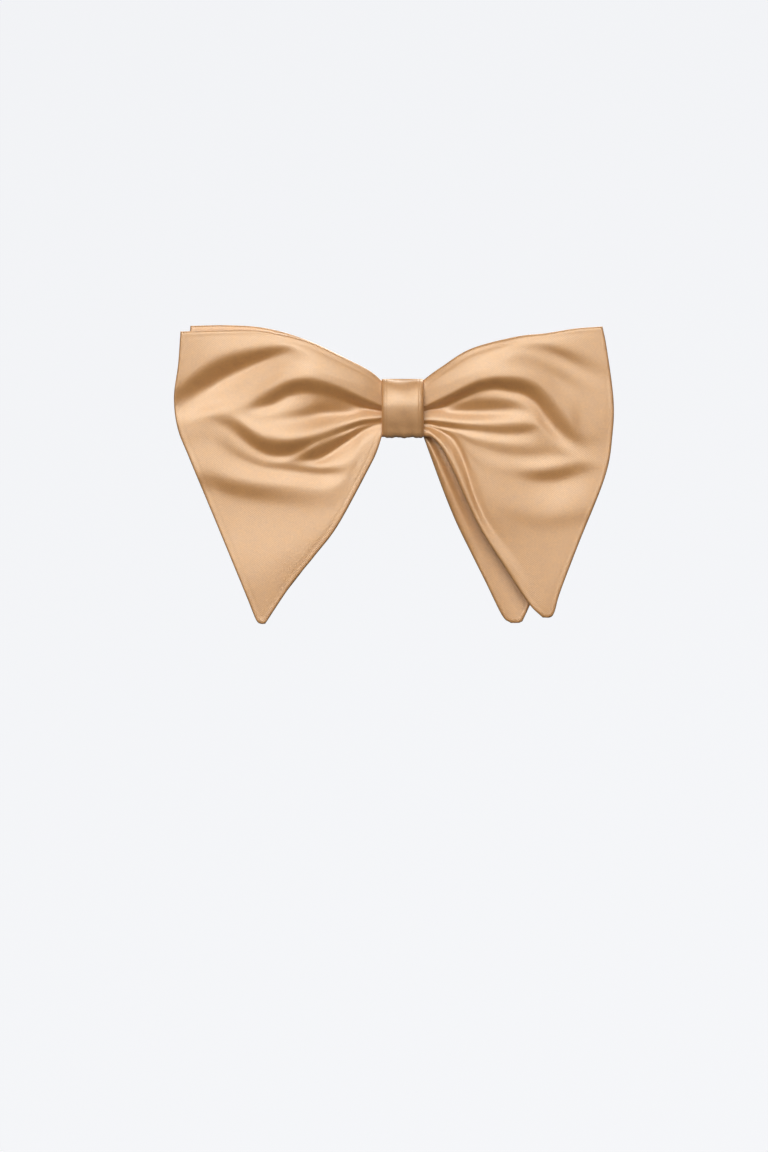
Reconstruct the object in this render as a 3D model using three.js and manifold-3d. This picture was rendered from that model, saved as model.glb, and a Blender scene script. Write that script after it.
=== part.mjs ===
// A pre-tied satin bow tie with drooping pointed leaves, on an adjustable neck strap with a hook and eye.
// Millimetres. +X is to the right as seen from the front, -Y is the front, +Z is up.
// The origin is the centre of the knot's flat back, where the bow rests on the collar.
// The bow is two layers, one behind the other. Each layer has a left and a right leaf, gathered under the knot.
// The neck strap is set to its loop as worn, and closes behind the neck.

import * as THREE from "three";
import Module from "manifold-3d";
import { mergeVertices } from "three/addons/utils/BufferGeometryUtils.js";

const wasm = await Module();
wasm.setup();

// ---- Driving dimensions ----

const FIT_GAP = 0.3; // between pieces that touch on the real bow
const BOW_WIDTH = 130; // across all the leaves
const BOW_HEIGHT = 88.2;
const KNOT_WIDTH = 12.4;
const KNOT_HEIGHT = 17.4;
const KNOT_CORNER = 2.3; // outside radius of the wrapped band
const BAND_THICKNESS = 0.9;
const BAND_OVERLAP = 10; // the band's outer end is sewn over its inner end, behind the knot
const PADDING_THICKNESS = 0.8;
const BINDING_THICKNESS = 0.6;
const BINDING_WIDTH = 5;

const PANEL_THICKNESS = 0.9; // one sewn satin panel
const INTERLINING_THICKNESS = 0.4;
const LEAF_CELLS = 12; // a leaf's grid has this many cells each way, and its interlining has one less at each edge
const LEAF_FLEX_CLEAR = 0.3; // between a leaf's root and the edge of the knot

const STRAP_WIDTH = 13;
const STRAP_THICKNESS = 1.2;
const NECK_RADIUS = 50; // of the strap's middle, at each side of the neck
const NECK_FLAT = 13; // half of the straight stretch at the front and at the back
const TAB_LENGTH = 40; // of each strap end that bends to hook and unhook
const SETTLE_LENGTH = 6; // over which the two plies round a bar come together
const SEWN_LENGTH = 5; // of two plies sewn together beyond that

const ADJUSTER_STATION = 52; // along the strap, from the middle of the knot
const ADJUSTER_LENGTH = 11;
const ADJUSTER_BAR = 1.2;
const ADJUSTER_CLEAR = 0.4;
const ADJUSTER_END = 1.3;

const METAL = 1.4; // thickness of the hook's and the eye's bars
const HOOK_BAR_REACH = 12; // from the closure's centre to the bar that carries the strap
const EYE_BAR_REACH = 9.5;
const BAR_WIDTH = 1.6;
const SIDE_CLEAR = 0.6; // between a strap's edge and the metal beside it
const CATCH_REACH = 2.6; // the eye's free bar, on the hook's side of the closure's centre
const STRAP_SLOT = 2.6; // width of the slot that the strap goes through
const HOOK_PLATE = 0.8;
const TONGUE_WIDTH = 7;
const TONGUE_CURL = 1.6;

const THREAD_RADIUS = 0.22;
const BARTACK_TURNS = 6;
const BARTACK_LENGTH = 2.4;

// ---- Layers of the knot, from its back at y = 0 forwards ----

const LEAF_DEPTH = 2 * PANEL_THICKNESS + INTERLINING_THICKNESS + 2 * FIT_GAP;

function stackForward(thicknesses) {
  let y = 0;
  return thicknesses.map((thickness) => {
    const layer = { back: y, front: y - thickness, middle: y - thickness / 2 };
    y = layer.front - FIT_GAP;
    return layer;
  });
}

const [flap, bandBack, strap, bindingBack, backGather, frontGather, bindingFront, padding, bandFront] =
  stackForward([
    BAND_THICKNESS,
    BAND_THICKNESS,
    STRAP_THICKNESS,
    BINDING_THICKNESS,
    LEAF_DEPTH,
    LEAF_DEPTH,
    BINDING_THICKNESS,
    PADDING_THICKNESS,
    BAND_THICKNESS,
  ]);

const BINDING_HALF = KNOT_HEIGHT / 2 - BAND_THICKNESS - FIT_GAP;
const GATHER_HALF = BINDING_HALF - BINDING_THICKNESS - FIT_GAP;
const ROOT_X = KNOT_WIDTH / 2 + LEAF_FLEX_CLEAR;
const ROOT_HALF = KNOT_HEIGHT / 2 - FIT_GAP;

// ---- Stations of the neck strap, measured along one side of its loop from the knot ----

const HALF_LOOP = 2 * NECK_FLAT + Math.PI * NECK_RADIUS;
const NECK_CENTRE_Y = strap.middle + NECK_RADIUS;
const CLOSURE_Y = NECK_CENTRE_Y + NECK_RADIUS;
const TAB_STATION = HALF_LOOP - TAB_LENGTH;
const PLY_STEP = STRAP_THICKNESS + FIT_GAP; // from one ply of strap to the next
const TURN_RADIUS = Math.hypot(BAR_WIDTH / 2, METAL / 2) + FIT_GAP + STRAP_THICKNESS / 2; // round a flat bar
const BAR_DEPTH = -PLY_STEP / 2; // bars of hook and eye lie midway between the two plies

// ---- Materials ----

const satin = new THREE.MeshStandardMaterial({ color: 0xd2a874, roughness: 0.42, metalness: 0 });
const lining = new THREE.MeshStandardMaterial({ color: 0xe9e2d2, roughness: 0.9, metalness: 0 });
const thread = new THREE.MeshStandardMaterial({ color: 0xc69a66, roughness: 0.7, metalness: 0 });
const gilt = new THREE.MeshStandardMaterial({ color: 0xc9a25a, roughness: 0.3, metalness: 1 });

const bow = new THREE.Group();

function add(name, geometry, material) {
  const mesh = new THREE.Mesh(geometry, material);
  mesh.name = name;
  bow.add(mesh);
  return mesh;
}

// ---- Solids ----

function toSolid(geometry) {
  const bare = geometry.index ? geometry.toNonIndexed() : geometry.clone();
  bare.deleteAttribute("normal");
  bare.deleteAttribute("uv");
  const merged = mergeVertices(bare, 1e-4);
  return new wasm.Manifold(
    new wasm.Mesh({
      numProp: 3,
      vertProperties: merged.attributes.position.array,
      triVerts: new Uint32Array(merged.index.array),
    }),
  );
}

function toGeometry(solid) {
  const mesh = solid.getMesh();
  const geometry = new THREE.BufferGeometry();
  geometry.setAttribute("position", new THREE.BufferAttribute(mesh.vertProperties, 3));
  geometry.setIndex(new THREE.BufferAttribute(mesh.triVerts, 1));
  geometry.computeVertexNormals();
  return geometry;
}

function union(geometries) {
  return toGeometry(geometries.map(toSolid).reduce((whole, part) => whole.add(part)));
}

// A box from its lowest to its highest corner.
function block([x0, y0, z0], [x1, y1, z1]) {
  return new THREE.BoxGeometry(x1 - x0, y1 - y0, z1 - z0).translate(
    (x0 + x1) / 2,
    (y0 + y1) / 2,
    (z0 + z1) / 2,
  );
}

// An upright round bar, centred on z = 0.
function post(x, y, diameter, length) {
  return new THREE.CylinderGeometry(diameter / 2, diameter / 2, length, 16)
    .rotateX(Math.PI / 2)
    .translate(x, y, 0);
}

// A flat strip that follows a line of points, as an outline to extrude across its width.
function stripShape(points, thickness) {
  const normals = points.map((p, i) => {
    const before = points[Math.max(i - 1, 0)];
    const after = points[Math.min(i + 1, points.length - 1)];
    const along = after.clone().sub(before).normalize();
    return new THREE.Vector2(-along.y, along.x);
  });
  const side = (sign) =>
    points.map((p, i) => p.clone().addScaledVector(normals[i], (sign * thickness) / 2));
  return new THREE.Shape([...side(1), ...side(-1).reverse()]);
}

// A strip in the XY plane, with its width along Z, centred on z = 0.
function ribbon(points, thickness, width) {
  return new THREE.ExtrudeGeometry(stripShape(points, thickness), {
    depth: width,
    bevelEnabled: false,
  }).translate(0, 0, -width / 2);
}

// An outline drawn in (y, z), extruded along X and centred on x = 0.
function acrossX(shape, width) {
  const turned = new THREE.Matrix4().makeBasis(
    new THREE.Vector3(0, 1, 0),
    new THREE.Vector3(0, 0, 1),
    new THREE.Vector3(1, 0, 0),
  );
  return new THREE.ExtrudeGeometry(shape, { depth: width, bevelEnabled: false, curveSegments: 4 })
    .translate(0, 0, -width / 2)
    .applyMatrix4(turned);
}

function arc(x, y, radius, from, to, steps) {
  return Array.from({ length: steps + 1 }, (_, i) => {
    const angle = from + ((to - from) * i) / steps;
    return new THREE.Vector2(x + radius * Math.cos(angle), y + radius * Math.sin(angle));
  });
}

function roundedRectangle(x0, y0, x1, y1, radius, outline = new THREE.Shape()) {
  outline.moveTo(x0 + radius, y0);
  outline.lineTo(x1 - radius, y0);
  outline.absarc(x1 - radius, y0 + radius, radius, -Math.PI / 2, 0);
  outline.lineTo(x1, y1 - radius);
  outline.absarc(x1 - radius, y1 - radius, radius, 0, Math.PI / 2);
  outline.lineTo(x0 + radius, y1);
  outline.absarc(x0 + radius, y1 - radius, radius, Math.PI / 2, Math.PI);
  outline.lineTo(x0, y0 + radius);
  outline.absarc(x0 + radius, y0 + radius, radius, Math.PI, 1.5 * Math.PI);
  return outline;
}

// ---- Knot ----

// One satin strip wrapped round the gathers and the strap, its outer end lying over its inner end.
function knotBand() {
  const half = KNOT_HEIGHT / 2 - BAND_THICKNESS / 2;
  const bend = KNOT_CORNER - BAND_THICKNESS / 2;
  const points = [
    new THREE.Vector2(bandBack.middle, BAND_OVERLAP / 2),
    ...arc(bandBack.middle - bend, -half + bend, bend, 0, -Math.PI / 2, 5),
    ...arc(bandFront.middle + bend, -half + bend, bend, -Math.PI / 2, -Math.PI, 5),
    ...arc(bandFront.middle + bend, half - bend, bend, Math.PI, Math.PI / 2, 5),
    ...arc(flap.middle - bend, half - bend, bend, Math.PI / 2, 0, 5),
    new THREE.Vector2(flap.middle, -BAND_OVERLAP / 2),
  ];
  return acrossX(stripShape(points, BAND_THICKNESS), KNOT_WIDTH);
}

function knotPadding() {
  const half = KNOT_HEIGHT / 2 - KNOT_CORNER;
  return acrossX(
    roundedRectangle(padding.front, -half, padding.back, half, PADDING_THICKNESS / 4),
    KNOT_WIDTH - 2 * FIT_GAP,
  );
}

// Thread wound round both gathers, as one flat ring.
function gatherBinding() {
  const ring = roundedRectangle(
    bindingFront.front,
    -BINDING_HALF,
    bindingBack.back,
    BINDING_HALF,
    BINDING_THICKNESS,
  );
  const inside = BINDING_HALF - BINDING_THICKNESS;
  ring.holes.push(
    roundedRectangle(
      bindingFront.back,
      -inside,
      bindingBack.front,
      inside,
      BINDING_THICKNESS / 4,
      new THREE.Path(),
    ),
  );
  return acrossX(ring, BINDING_WIDTH);
}

function gather(layer) {
  return acrossX(
    roundedRectangle(layer.front, -GATHER_HALF, layer.back, GATHER_HALF, LEAF_DEPTH / 4),
    KNOT_WIDTH,
  );
}

// ---- Leaves ----

// Each leaf is bounded by its root at the knot, its top edge, its outer edge and its lower edge.
// Points are (x, z) from the knot's centre, on a bow of this size, and the edges run smoothly through them.
// outerDepth is the leaf's y at its outer edge, and crown is how far its middle stands forward.
const DRAWN_WIDTH = 130;
const DRAWN_HEIGHT = 88.2;
const LEAVES = {
  front_left: {
    side: -1,
    layer: frontGather,
    top: [[-10, 11.4], [-19, 15.8], [-36.6, 22], [-65.5, 22.6]],
    outer: [[-67.5, 1], [-58.5, -25.4], [-43.4, -62.8], [-41.2, -63.8]],
    lower: [[-10.3, -18.4], [-19, -34.6], [-33, -52.5]],
    outerDepth: -8,
    crown: 5,
  },
  front_right: {
    side: 1,
    layer: frontGather,
    top: [[11, 12.2], [20, 17.5], [33.5, 21.1], [59.4, 23.9]],
    outer: [[62.3, -1], [56.3, -30.6], [45.2, -60], [41.6, -62]],
    lower: [[11.6, -12.2], [18.6, -27.1], [29.1, -45.5]],
    outerDepth: -8,
    crown: 5,
  },
  back_left: {
    side: -1,
    layer: backGather,
    top: [[-10, 11], [-19, 16], [-38, 23], [-62.9, 24.4]],
    outer: [[-64.5, 1], [-56, -25.4], [-42, -59], [-39.5, -60.5]],
    lower: [[-10.1, -18], [-18.5, -33], [-31, -50]],
    outerDepth: -3.2,
    crown: 0.6,
  },
  back_right: {
    side: 1,
    layer: backGather,
    top: [[11, 11.8], [20, 17], [33.5, 20.6], [57, 23]],
    outer: [[59.5, -1], [50, -31], [36.6, -61.6], [32.4, -63.8]],
    lower: [[12.4, -25.4], [20.3, -42.9]],
    outerDepth: -3.2,
    crown: 0.6,
  },
};

// The leaf's outline as a patch: u runs from the root to the outer edge, v from the top edge down.
function leafPatch(leaf) {
  const toVectors = (points) =>
    points.map(
      ([x, z]) => new THREE.Vector2((x * BOW_WIDTH) / DRAWN_WIDTH, (z * BOW_HEIGHT) / DRAWN_HEIGHT),
    );
  const rootTop = new THREE.Vector2(leaf.side * ROOT_X, ROOT_HALF);
  const rootLow = new THREE.Vector2(leaf.side * ROOT_X, -ROOT_HALF);
  const topPoints = toVectors(leaf.top);
  const corner = topPoints[topPoints.length - 1];
  const outerPoints = toVectors(leaf.outer);
  const tip = outerPoints[outerPoints.length - 1];
  const top = new THREE.SplineCurve([rootTop, ...topPoints]);
  const outer = new THREE.SplineCurve([corner, ...outerPoints]);
  const lower = new THREE.SplineCurve([rootLow, ...toVectors(leaf.lower), tip]);
  return (u, v) =>
    top
      .getPointAt(u)
      .multiplyScalar(1 - v)
      .addScaledVector(lower.getPointAt(u), v)
      .addScaledVector(rootTop, (1 - u) * (1 - v))
      .addScaledVector(rootLow, (1 - u) * v)
      .addScaledVector(outer.getPointAt(v), u)
      .addScaledVector(rootTop, -(1 - u) * (1 - v))
      .addScaledVector(rootLow, -(1 - u) * v)
      .addScaledVector(corner, -u * (1 - v))
      .addScaledVector(tip, -u * v);
}

// The leaf's middle surface at a corner of its grid, moved back by offset.
function leafPoint(leaf, patch, column, row, offset) {
  const u = column / LEAF_CELLS;
  const v = row / LEAF_CELLS;
  const { x, y: z } = patch(u, v);
  const base = THREE.MathUtils.lerp(leaf.layer.middle, leaf.outerDepth, u);
  const crown = leaf.crown * Math.sin(Math.PI * u) * Math.sin(Math.PI * v);
  return new THREE.Vector3(x, base - crown + offset, z);
}

// A closed sheet, its thickness along Y. rows of points run from the root outwards, the top edge first.
// rightwards is true where x grows from the root outwards.
function sheet(rows, thickness, rightwards) {
  const across = rows[0].length;
  const perSide = rows.length * across;
  const positions = [-1, 1].flatMap((side) =>
    rows.flat().flatMap((p) => [p.x, p.y + (side * thickness) / 2, p.z]),
  );
  const front = (row, column) => row * across + column;
  const back = (row, column) => perSide + front(row, column);
  const faces = [];
  const quad = (a, b, c, d) => faces.push(...(rightwards ? [a, b, c, a, c, d] : [a, c, b, a, d, c]));
  const lastRow = rows.length - 1;
  const lastColumn = across - 1;
  for (let r = 0; r < lastRow; r++) {
    for (let c = 0; c < lastColumn; c++) {
      quad(front(r, c), front(r + 1, c), front(r + 1, c + 1), front(r, c + 1));
      quad(back(r, c), back(r, c + 1), back(r + 1, c + 1), back(r + 1, c));
    }
    quad(front(r, 0), back(r, 0), back(r + 1, 0), front(r + 1, 0));
    quad(
      front(r, lastColumn),
      front(r + 1, lastColumn),
      back(r + 1, lastColumn),
      back(r, lastColumn),
    );
  }
  for (let c = 0; c < lastColumn; c++) {
    quad(front(0, c), front(0, c + 1), back(0, c + 1), back(0, c));
    quad(front(lastRow, c), back(lastRow, c), back(lastRow, c + 1), front(lastRow, c + 1));
  }
  const geometry = new THREE.BufferGeometry();
  geometry.setAttribute("position", new THREE.Float32BufferAttribute(positions, 3));
  geometry.setIndex(faces);
  geometry.computeVertexNormals();
  return geometry;
}

// One layer of a leaf, stopping margin cells short of the leaf's edges.
function leafSheet(leaf, offset, thickness, margin) {
  const patch = leafPatch(leaf);
  const rows = [];
  for (let row = margin; row <= LEAF_CELLS - margin; row++) {
    const points = [];
    for (let column = 0; column <= LEAF_CELLS - margin; column++) {
      points.push(leafPoint(leaf, patch, column, row, offset));
    }
    rows.push(points);
  }
  return sheet(rows, thickness, leaf.side > 0);
}

function addLeaf(name, leaf) {
  const step = INTERLINING_THICKNESS / 2 + FIT_GAP + PANEL_THICKNESS / 2;
  add(`${name}_face_panel`, leafSheet(leaf, -step, PANEL_THICKNESS, 0), satin);
  add(`${name}_interlining`, leafSheet(leaf, 0, INTERLINING_THICKNESS, 1), lining);
  add(`${name}_back_panel`, leafSheet(leaf, step, PANEL_THICKNESS, 0), satin);
}

// ---- Neck strap ----

// The strap's frame at a station on one side of the loop: its middle, its direction away from the knot,
// and its direction out of the neck. side is 1 on the right and -1 on the left.
function strapFrame(station, side) {
  const turned = THREE.MathUtils.clamp((station - NECK_FLAT) / NECK_RADIUS, 0, Math.PI);
  const straight = Math.min(station, NECK_FLAT);
  const back = Math.max(station - NECK_FLAT - Math.PI * NECK_RADIUS, 0);
  const middle = new THREE.Vector2(
    straight + NECK_RADIUS * Math.sin(turned) - back,
    NECK_CENTRE_Y - NECK_RADIUS * Math.cos(turned),
  );
  const along = new THREE.Vector2(Math.cos(turned), Math.sin(turned));
  const out = new THREE.Vector2(Math.sin(turned), -Math.cos(turned));
  for (const v of [middle, along, out]) v.x *= side;
  return { middle, along, out };
}

function strapPoint(station, offset, side) {
  const { middle, out } = strapFrame(station, side);
  return middle.addScaledVector(out, offset);
}

// Points along the strap, offsetAt giving how far out of the neck each lies.
function strapRun(from, to, side, offsetAt = () => 0, step = 3) {
  const steps = Math.max(2, Math.ceil(Math.abs(to - from) / step));
  return Array.from({ length: steps + 1 }, (_, i) => {
    const station = from + ((to - from) * i) / steps;
    return strapPoint(station, offsetAt(station), side);
  });
}

// The strap's route round a bar and back: an outer leg, a half turn and an inner leg.
// legs is -1 where they lead back to the knot and 1 where they lead on to the closure.
function hairpin({ side, bar, barOffset, radius, legs, outerEnd, outerFar, innerEnd, innerFar }) {
  const settle = (station) =>
    THREE.MathUtils.smoothstep(Math.abs(station - bar), 0, SETTLE_LENGTH);
  const outer = strapRun(outerEnd, bar, side, (s) =>
    THREE.MathUtils.lerp(barOffset + radius, outerFar, settle(s)),
  );
  const inner = strapRun(bar, innerEnd, side, (s) =>
    THREE.MathUtils.lerp(barOffset - radius, innerFar, settle(s)),
  );
  const { along, out } = strapFrame(bar, side);
  const centre = strapPoint(bar, barOffset, side);
  const turn = [];
  const turnSteps = 8;
  for (let i = 1; i < turnSteps; i++) {
    const angle = (Math.PI * i) / turnSteps;
    turn.push(
      centre
        .clone()
        .addScaledVector(out, radius * Math.cos(angle))
        .addScaledVector(along, -legs * radius * Math.sin(angle)),
    );
  }
  return [...outer, ...turn, ...inner];
}

// One length of strap from the left tab, through the knot, to the right tab.
function neckStrap() {
  const end = TAB_STATION - FIT_GAP / 2;
  const left = strapRun(end, NECK_FLAT, -1);
  const right = strapRun(NECK_FLAT, end, 1);
  return ribbon([...left, ...right], STRAP_THICKNESS, STRAP_WIDTH);
}

const EYE_BAR_STATION = HALF_LOOP - EYE_BAR_REACH;
const HOOK_BAR_STATION = HALF_LOOP - HOOK_BAR_REACH;
const TAB_START = TAB_STATION + FIT_GAP / 2;
const EYE_SEWN_STATION = EYE_BAR_STATION - SETTLE_LENGTH - SEWN_LENGTH;

function eyeTab() {
  const route = hairpin({
    side: -1,
    bar: EYE_BAR_STATION,
    barOffset: BAR_DEPTH,
    radius: TURN_RADIUS,
    legs: -1,
    outerEnd: TAB_START,
    outerFar: 0,
    innerEnd: EYE_SEWN_STATION,
    innerFar: -PLY_STEP,
  });
  return ribbon(route, STRAP_THICKNESS, STRAP_WIDTH);
}

function hookTab() {
  const route = hairpin({
    side: 1,
    bar: HOOK_BAR_STATION,
    barOffset: BAR_DEPTH,
    radius: TURN_RADIUS,
    legs: -1,
    outerEnd: TAB_START,
    outerFar: 0,
    innerEnd: TAB_START,
    innerFar: -PLY_STEP,
  });
  return ribbon(route, STRAP_THICKNESS, STRAP_WIDTH);
}

// ---- Adjuster: three bars between two ends, the strap passing under, over and under them ----

const ADJUSTER_TURN = ADJUSTER_BAR / 2 + FIT_GAP + STRAP_THICKNESS / 2;
const CENTRE_BAR_OFFSET = -PLY_STEP - ADJUSTER_TURN;
const SIDE_BAR_OFFSET = STRAP_THICKNESS / 2 + ADJUSTER_CLEAR + ADJUSTER_BAR / 2;
const ADJUSTER_SEWN_STATION = ADJUSTER_STATION + SETTLE_LENGTH + SEWN_LENGTH;

// The end of the strap comes back from the hook, goes round the centre bar and is sewn to itself.
function adjusterLoop() {
  const route = hairpin({
    side: 1,
    bar: ADJUSTER_STATION,
    barOffset: CENTRE_BAR_OFFSET,
    radius: ADJUSTER_TURN,
    legs: 1,
    outerEnd: ADJUSTER_SEWN_STATION,
    outerFar: -PLY_STEP,
    innerEnd: ADJUSTER_SEWN_STATION - FIT_GAP,
    innerFar: -2 * PLY_STEP,
  });
  return ribbon(route, STRAP_THICKNESS, STRAP_WIDTH);
}

function returnRun() {
  const route = strapRun(
    ADJUSTER_SEWN_STATION + FIT_GAP,
    TAB_STATION - FIT_GAP / 2,
    1,
    () => -PLY_STEP,
  );
  return ribbon(route, STRAP_THICKNESS, STRAP_WIDTH);
}

function adjusterSlide() {
  const { middle, along, out } = strapFrame(ADJUSTER_STATION, 1);
  const at = (x, offset) => middle.clone().addScaledVector(along, x).addScaledVector(out, offset);
  const endInside = STRAP_WIDTH / 2 + SIDE_CLEAR;
  const barLength = 2 * (endInside + ADJUSTER_END / 2);
  const half = ADJUSTER_LENGTH / 2 - ADJUSTER_BAR / 2;
  // The side bars drop with the curve of the strap.
  const drop = NECK_RADIUS - Math.sqrt(NECK_RADIUS ** 2 - half ** 2);
  const bars = [
    [-half, SIDE_BAR_OFFSET - drop],
    [half, SIDE_BAR_OFFSET - drop],
    [0, CENTRE_BAR_OFFSET],
  ];
  const pieces = bars.map(([x, offset]) => {
    const p = at(x, offset);
    return post(p.x, p.y, ADJUSTER_BAR, barLength);
  });
  const outline = [
    at(-half - ADJUSTER_BAR / 2, SIDE_BAR_OFFSET - drop + ADJUSTER_BAR / 2),
    at(half + ADJUSTER_BAR / 2, SIDE_BAR_OFFSET - drop + ADJUSTER_BAR / 2),
    at(half + ADJUSTER_BAR / 2, SIDE_BAR_OFFSET - drop - ADJUSTER_BAR / 2),
    at(ADJUSTER_BAR, CENTRE_BAR_OFFSET - ADJUSTER_BAR / 2),
    at(-ADJUSTER_BAR, CENTRE_BAR_OFFSET - ADJUSTER_BAR / 2),
    at(-half - ADJUSTER_BAR / 2, SIDE_BAR_OFFSET - drop - ADJUSTER_BAR / 2),
  ];
  for (const z of [endInside, -endInside - ADJUSTER_END]) {
    pieces.push(
      new THREE.ExtrudeGeometry(new THREE.Shape(outline), {
        depth: ADJUSTER_END,
        bevelEnabled: false,
      }).translate(0, 0, z),
    );
  }
  return union(pieces);
}

// ---- Hook and eye, lying flat across the back of the neck. x is measured from the closure's centre ----

const METAL_Y = CLOSURE_Y + BAR_DEPTH;
const METAL_HALF = STRAP_WIDTH / 2 + SIDE_CLEAR + METAL;

// A flat ring in the XZ plane, its thickness along Y.
function flatRing(x0, x1, wallLow, wallHigh) {
  const ring = roundedRectangle(x0, -METAL_HALF, x1, METAL_HALF, METAL);
  const inside = METAL_HALF - METAL;
  ring.holes.push(
    roundedRectangle(x0 + wallLow, -inside, x1 - wallHigh, inside, METAL / 4, new THREE.Path()),
  );
  return new THREE.ExtrudeGeometry(ring, { depth: METAL, bevelEnabled: false, curveSegments: 4 })
    .translate(0, 0, -METAL / 2)
    .rotateX(Math.PI / 2)
    .translate(0, METAL_Y, 0);
}

function eye() {
  return flatRing(-EYE_BAR_REACH - BAR_WIDTH / 2, CATCH_REACH + METAL / 2, BAR_WIDTH, METAL);
}

function hook() {
  const slotLow = HOOK_BAR_REACH - BAR_WIDTH / 2 - STRAP_SLOT;
  const ringLow = slotLow - METAL;
  const plateLow = METAL_Y + METAL / 2 + FIT_GAP;
  const plateHigh = plateLow + HOOK_PLATE;
  const curlHigh = METAL_Y - METAL / 2 - FIT_GAP;
  const curlLow = curlHigh - HOOK_PLATE;
  const toothHigh = -0.2; // the tongue turns down just past the closure's centre
  const toothLow = toothHigh - HOOK_PLATE;
  const ring = flatRing(ringLow, HOOK_BAR_REACH + BAR_WIDTH / 2, METAL, BAR_WIDTH);
  const half = TONGUE_WIDTH / 2;
  const plate = block([toothLow, plateLow, -half], [ringLow + METAL, plateHigh, half]);
  const riser = block([ringLow, METAL_Y, -half], [ringLow + METAL, plateHigh, half]);
  const tooth = block([toothLow, curlLow, -half], [toothHigh, plateHigh, half]);
  const curl = block([toothLow, curlLow, -half], [toothLow + TONGUE_CURL, curlHigh, half]);
  return union([ring, plate, riser, tooth, curl]);
}

// ---- Bartacks: zigzag thread that sews a folded strap end down, on its inner face ----

function bartack(station, offset, side) {
  const { middle, along, out } = strapFrame(station, side);
  const route = [];
  const tall = STRAP_WIDTH / 2 - 2;
  for (let i = 0; i <= BARTACK_TURNS; i++) {
    const across = (i % 2 ? 1 : -1) * (BARTACK_LENGTH / 2);
    const p = middle.clone().addScaledVector(along, across).addScaledVector(out, offset);
    route.push(new THREE.Vector3(p.x, p.y, tall * ((2 * i) / BARTACK_TURNS - 1)));
  }
  const section = new THREE.Shape().absarc(0, 0, THREAD_RADIUS, 0, 2 * Math.PI);
  return new THREE.ExtrudeGeometry(section, {
    extrudePath: new THREE.CatmullRomCurve3(route),
    steps: BARTACK_TURNS * 4,
    bevelEnabled: false,
    curveSegments: 3,
  });
}

// The thread lies on the inner face of the inner ply.
function bartackOffset(plyOffset) {
  return plyOffset - STRAP_THICKNESS / 2 - FIT_GAP - THREAD_RADIUS;
}

// ---- Assembly ----

add("knot_band", knotBand(), satin);
add("knot_padding", knotPadding(), lining);
add("gather_binding", gatherBinding(), thread);
add("front_gather", gather(frontGather), satin);
add("back_gather", gather(backGather), satin);
for (const [name, leaf] of Object.entries(LEAVES)) addLeaf(name, leaf);
add("neck_strap", neckStrap(), satin);
add("strap_eye_tab", eyeTab(), satin);
add("strap_hook_tab", hookTab(), satin);
add("strap_return_run", returnRun(), satin);
add("strap_adjuster_loop", adjusterLoop(), satin);
add("adjuster_slide", adjusterSlide(), gilt);
add("hook", hook(), gilt);
add("eye", eye(), gilt);
add("eye_tab_bartack", bartack(EYE_SEWN_STATION + SEWN_LENGTH / 2, bartackOffset(-PLY_STEP), -1), thread);
add(
  "adjuster_loop_bartack",
  bartack(ADJUSTER_SEWN_STATION - SEWN_LENGTH / 2, bartackOffset(-2 * PLY_STEP), 1),
  thread,
);

export default bow;
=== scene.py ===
"""A pre-tied satin bow tie, dressed over its CAD frame.

Shapes are worked out in millimetres in the CAD's frame (+X right, -Y front, +Z up), and turned to metres when
a mesh is made.
"""

import math

import bpy
import numpy as np
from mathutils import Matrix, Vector


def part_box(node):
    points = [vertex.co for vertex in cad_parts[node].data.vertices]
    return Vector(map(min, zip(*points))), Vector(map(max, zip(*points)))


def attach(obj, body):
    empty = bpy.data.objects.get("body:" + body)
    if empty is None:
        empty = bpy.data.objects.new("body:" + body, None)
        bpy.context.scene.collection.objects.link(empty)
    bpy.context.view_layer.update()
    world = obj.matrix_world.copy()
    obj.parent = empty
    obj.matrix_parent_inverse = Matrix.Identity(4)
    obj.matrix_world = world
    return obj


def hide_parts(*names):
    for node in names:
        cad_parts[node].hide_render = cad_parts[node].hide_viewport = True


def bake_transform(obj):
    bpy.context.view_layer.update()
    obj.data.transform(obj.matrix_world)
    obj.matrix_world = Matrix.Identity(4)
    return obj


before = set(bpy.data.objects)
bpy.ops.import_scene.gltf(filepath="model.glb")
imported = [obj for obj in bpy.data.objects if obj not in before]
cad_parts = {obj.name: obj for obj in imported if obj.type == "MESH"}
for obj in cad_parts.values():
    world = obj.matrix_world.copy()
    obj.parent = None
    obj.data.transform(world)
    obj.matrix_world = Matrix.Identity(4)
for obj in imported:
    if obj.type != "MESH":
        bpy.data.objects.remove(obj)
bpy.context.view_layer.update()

# ---- Sizes taken from the frame, in millimetres ----


def box_mm(node):
    low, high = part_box(node)
    return np.array(low) * 1000, np.array(high) * 1000


BAND_LOW, BAND_HIGH = box_mm("knot_band")
FRONT_LOW, FRONT_HIGH = box_mm("front_gather")
BACK_LOW, BACK_HIGH = box_mm("back_gather")
STRAP_LOW, STRAP_HIGH = box_mm("neck_strap")
KNOT_HALF_WIDTH = BAND_HIGH[0]
KNOT_HALF_HEIGHT = BAND_HIGH[2]
FRONT_LAYER_Y = (FRONT_LOW[1] + FRONT_HIGH[1]) / 2
BACK_LAYER_Y = (BACK_LOW[1] + BACK_HIGH[1]) / 2

# ---- Meshes ----


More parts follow.
